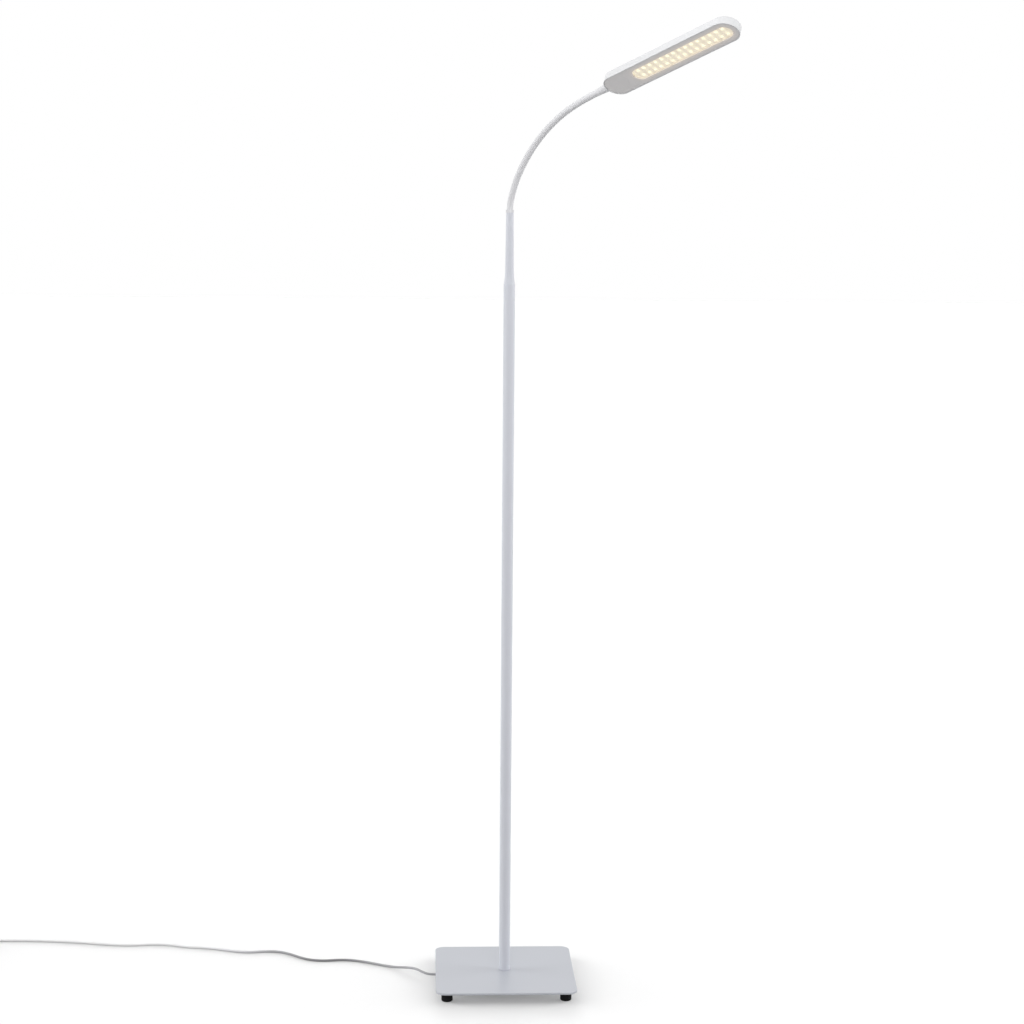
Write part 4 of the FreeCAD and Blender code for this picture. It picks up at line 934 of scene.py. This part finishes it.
def studio_world(studio):
    """White to look at; it lights with bright walls all round, less in front, and a darker top."""
    world = bpy.data.worlds.new("studio")
    world.use_nodes = True
    tree = world.node_tree
    tree.nodes.clear()
    output = add_node(tree, "ShaderNodeOutputWorld")
    axes = add_node(tree, "ShaderNodeSeparateXYZ")
    tree.links.new(add_node(tree, "ShaderNodeTexCoord").outputs["Generated"], axes.inputs[0])
    up = sums(tree, "MAXIMUM", axes.outputs["Z"], 0.0)
    band = sums(tree, "EXPONENT", sums(tree, "DIVIDE", up, -studio.wall_height), None)
    front = sums(tree, "MAXIMUM", sums(tree, "MULTIPLY", axes.outputs["Y"], -1.0), 0.0)
    back = sums(tree, "MAXIMUM", axes.outputs["Y"], 0.0)
    kept = sums(tree, "MULTIPLY_ADD", front, -studio.front_loss, 1.0)
    light = sums(tree, "MULTIPLY", band, sums(tree, "MULTIPLY_ADD", back, studio.back_gain, kept))
    strength = sums(tree, "MULTIPLY_ADD", light, studio.surround, studio.top)
    walls = add_node(tree, "ShaderNodeBackground", Color=WHITE)
    tree.links.new(strength, walls.inputs["Strength"])
    white = add_node(tree, "ShaderNodeBackground", Color=WHITE, Strength=1.0)
    choice = add_node(tree, "ShaderNodeMixShader")
    tree.links.new(seen_directly(tree), choice.inputs[0])
    tree.links.new(walls.outputs[0], choice.inputs[1])
    tree.links.new(white.outputs[0], choice.inputs[2])
    tree.links.new(choice.outputs[0], output.inputs["Surface"])
    return world


def soft_light(name, strength, spread, elevation, azimuth, only=None):
    """Broad light from far away; azimuth 0 is in front, 90 the right. It may reach only some pieces."""
    data = bpy.data.lights.new(name, "SUN")
    data.energy = strength
    data.angle = radians(spread)
    light = bpy.data.objects.new(name, data)
    light.rotation_euler = (radians(90 - elevation), 0, radians(azimuth))
    light.visible_glossy = False
    light.light_linking.receiver_collection = only
    bpy.context.scene.collection.objects.link(light)


def soft_box(name, power, size, place, target, spared):
    """Square area light that shines at a target and leaves one piece out."""
    data = bpy.data.lights.new(name, "AREA")
    data.energy = power
    data.size = size
    light = bpy.data.objects.new(name, data)
    light.rotation_euler = (target - place).to_track_quat("-Z", "Y").to_euler()
    light.location = place
    light.visible_camera = False
    others = bpy.data.collections.new("all but the floor")
    others.objects.link(spared)
    others.collection_objects[0].light_linking.link_state = "EXCLUDE"
    light.light_linking.receiver_collection = others
    bpy.context.scene.collection.objects.link(light)


class LAMP_OT_stage(bpy.types.Operator):
    """Lay the pale floor and set the soft lights"""
    bl_idname = "lamp.stage"
    bl_label = "Stage"

    def execute(self, context):
        studio = context.scene.lamp_studio
        floor = piece_from("studio_floor", lambda shape: bmesh.ops.create_grid(
            shape, x_segments=1, y_segments=1, size=FLOOR_REACH), floor_material())
        context.scene.world = studio_world(studio)
        floor_alone = bpy.data.collections.new("floor alone")
        floor_alone.objects.link(floor)
        for lights, only in ((SIDE_LIGHTS, None), (FLOOR_LIGHTS, floor_alone)):
            for name, setting, spread, elevation, azimuth in lights:
                soft_light(name, getattr(studio, setting), spread, elevation, azimuth, only)
        soft_box("upper light", studio.upper, SOFT_BOX_SIZE, SOFT_BOX_PLACE, SOFT_BOX_TARGET, floor)
        context.scene.view_settings.view_transform = "Standard"
        return {"FINISHED"}


# ---- panel and registration -----------------------------------------------------------------------
OPERATORS = (LAMP_OT_camera, LAMP_OT_cord, LAMP_OT_base, LAMP_OT_pole, LAMP_OT_gooseneck, LAMP_OT_head,
             LAMP_OT_light_window, LAMP_OT_adapter, LAMP_OT_stage)


class LAMP_PT_panel(bpy.types.Panel):
    """Lists the lamp's pieces and settings"""
    bl_idname = "LAMP_PT_panel"
    bl_label = "Reading lamp"
    bl_space_type = "VIEW_3D"
    bl_region_type = "UI"
    bl_category = "Lamp"

    def draw(self, context):
        for operator in OPERATORS:
            self.layout.operator(operator.bl_idname)
        for settings in (context.scene.lamp_colours, context.scene.lamp_sizes, context.scene.lamp_studio):
            box = self.layout.box()
            for name in settings.__annotations__:
                box.prop(settings, name)


CLASSES = (LampColours, LampSizes, StudioSettings, *OPERATORS, LAMP_PT_panel)


def register():
    for each in CLASSES:
        bpy.utils.register_class(each)
    bpy.types.Scene.lamp_colours = PointerProperty(type=LampColours)
    bpy.types.Scene.lamp_sizes = PointerProperty(type=LampSizes)
    bpy.types.Scene.lamp_studio = PointerProperty(type=StudioSettings)


def unregister():
    del bpy.types.Scene.lamp_studio
    del bpy.types.Scene.lamp_sizes
    del bpy.types.Scene.lamp_colours
    for each in reversed(CLASSES):
        bpy.utils.unregister_class(each)


def main():
    register()
    for operator in OPERATORS:
        group, name = operator.bl_idname.split(".")
        getattr(getattr(bpy.ops, group), name)()


if __name__ == "__main__":
    main()
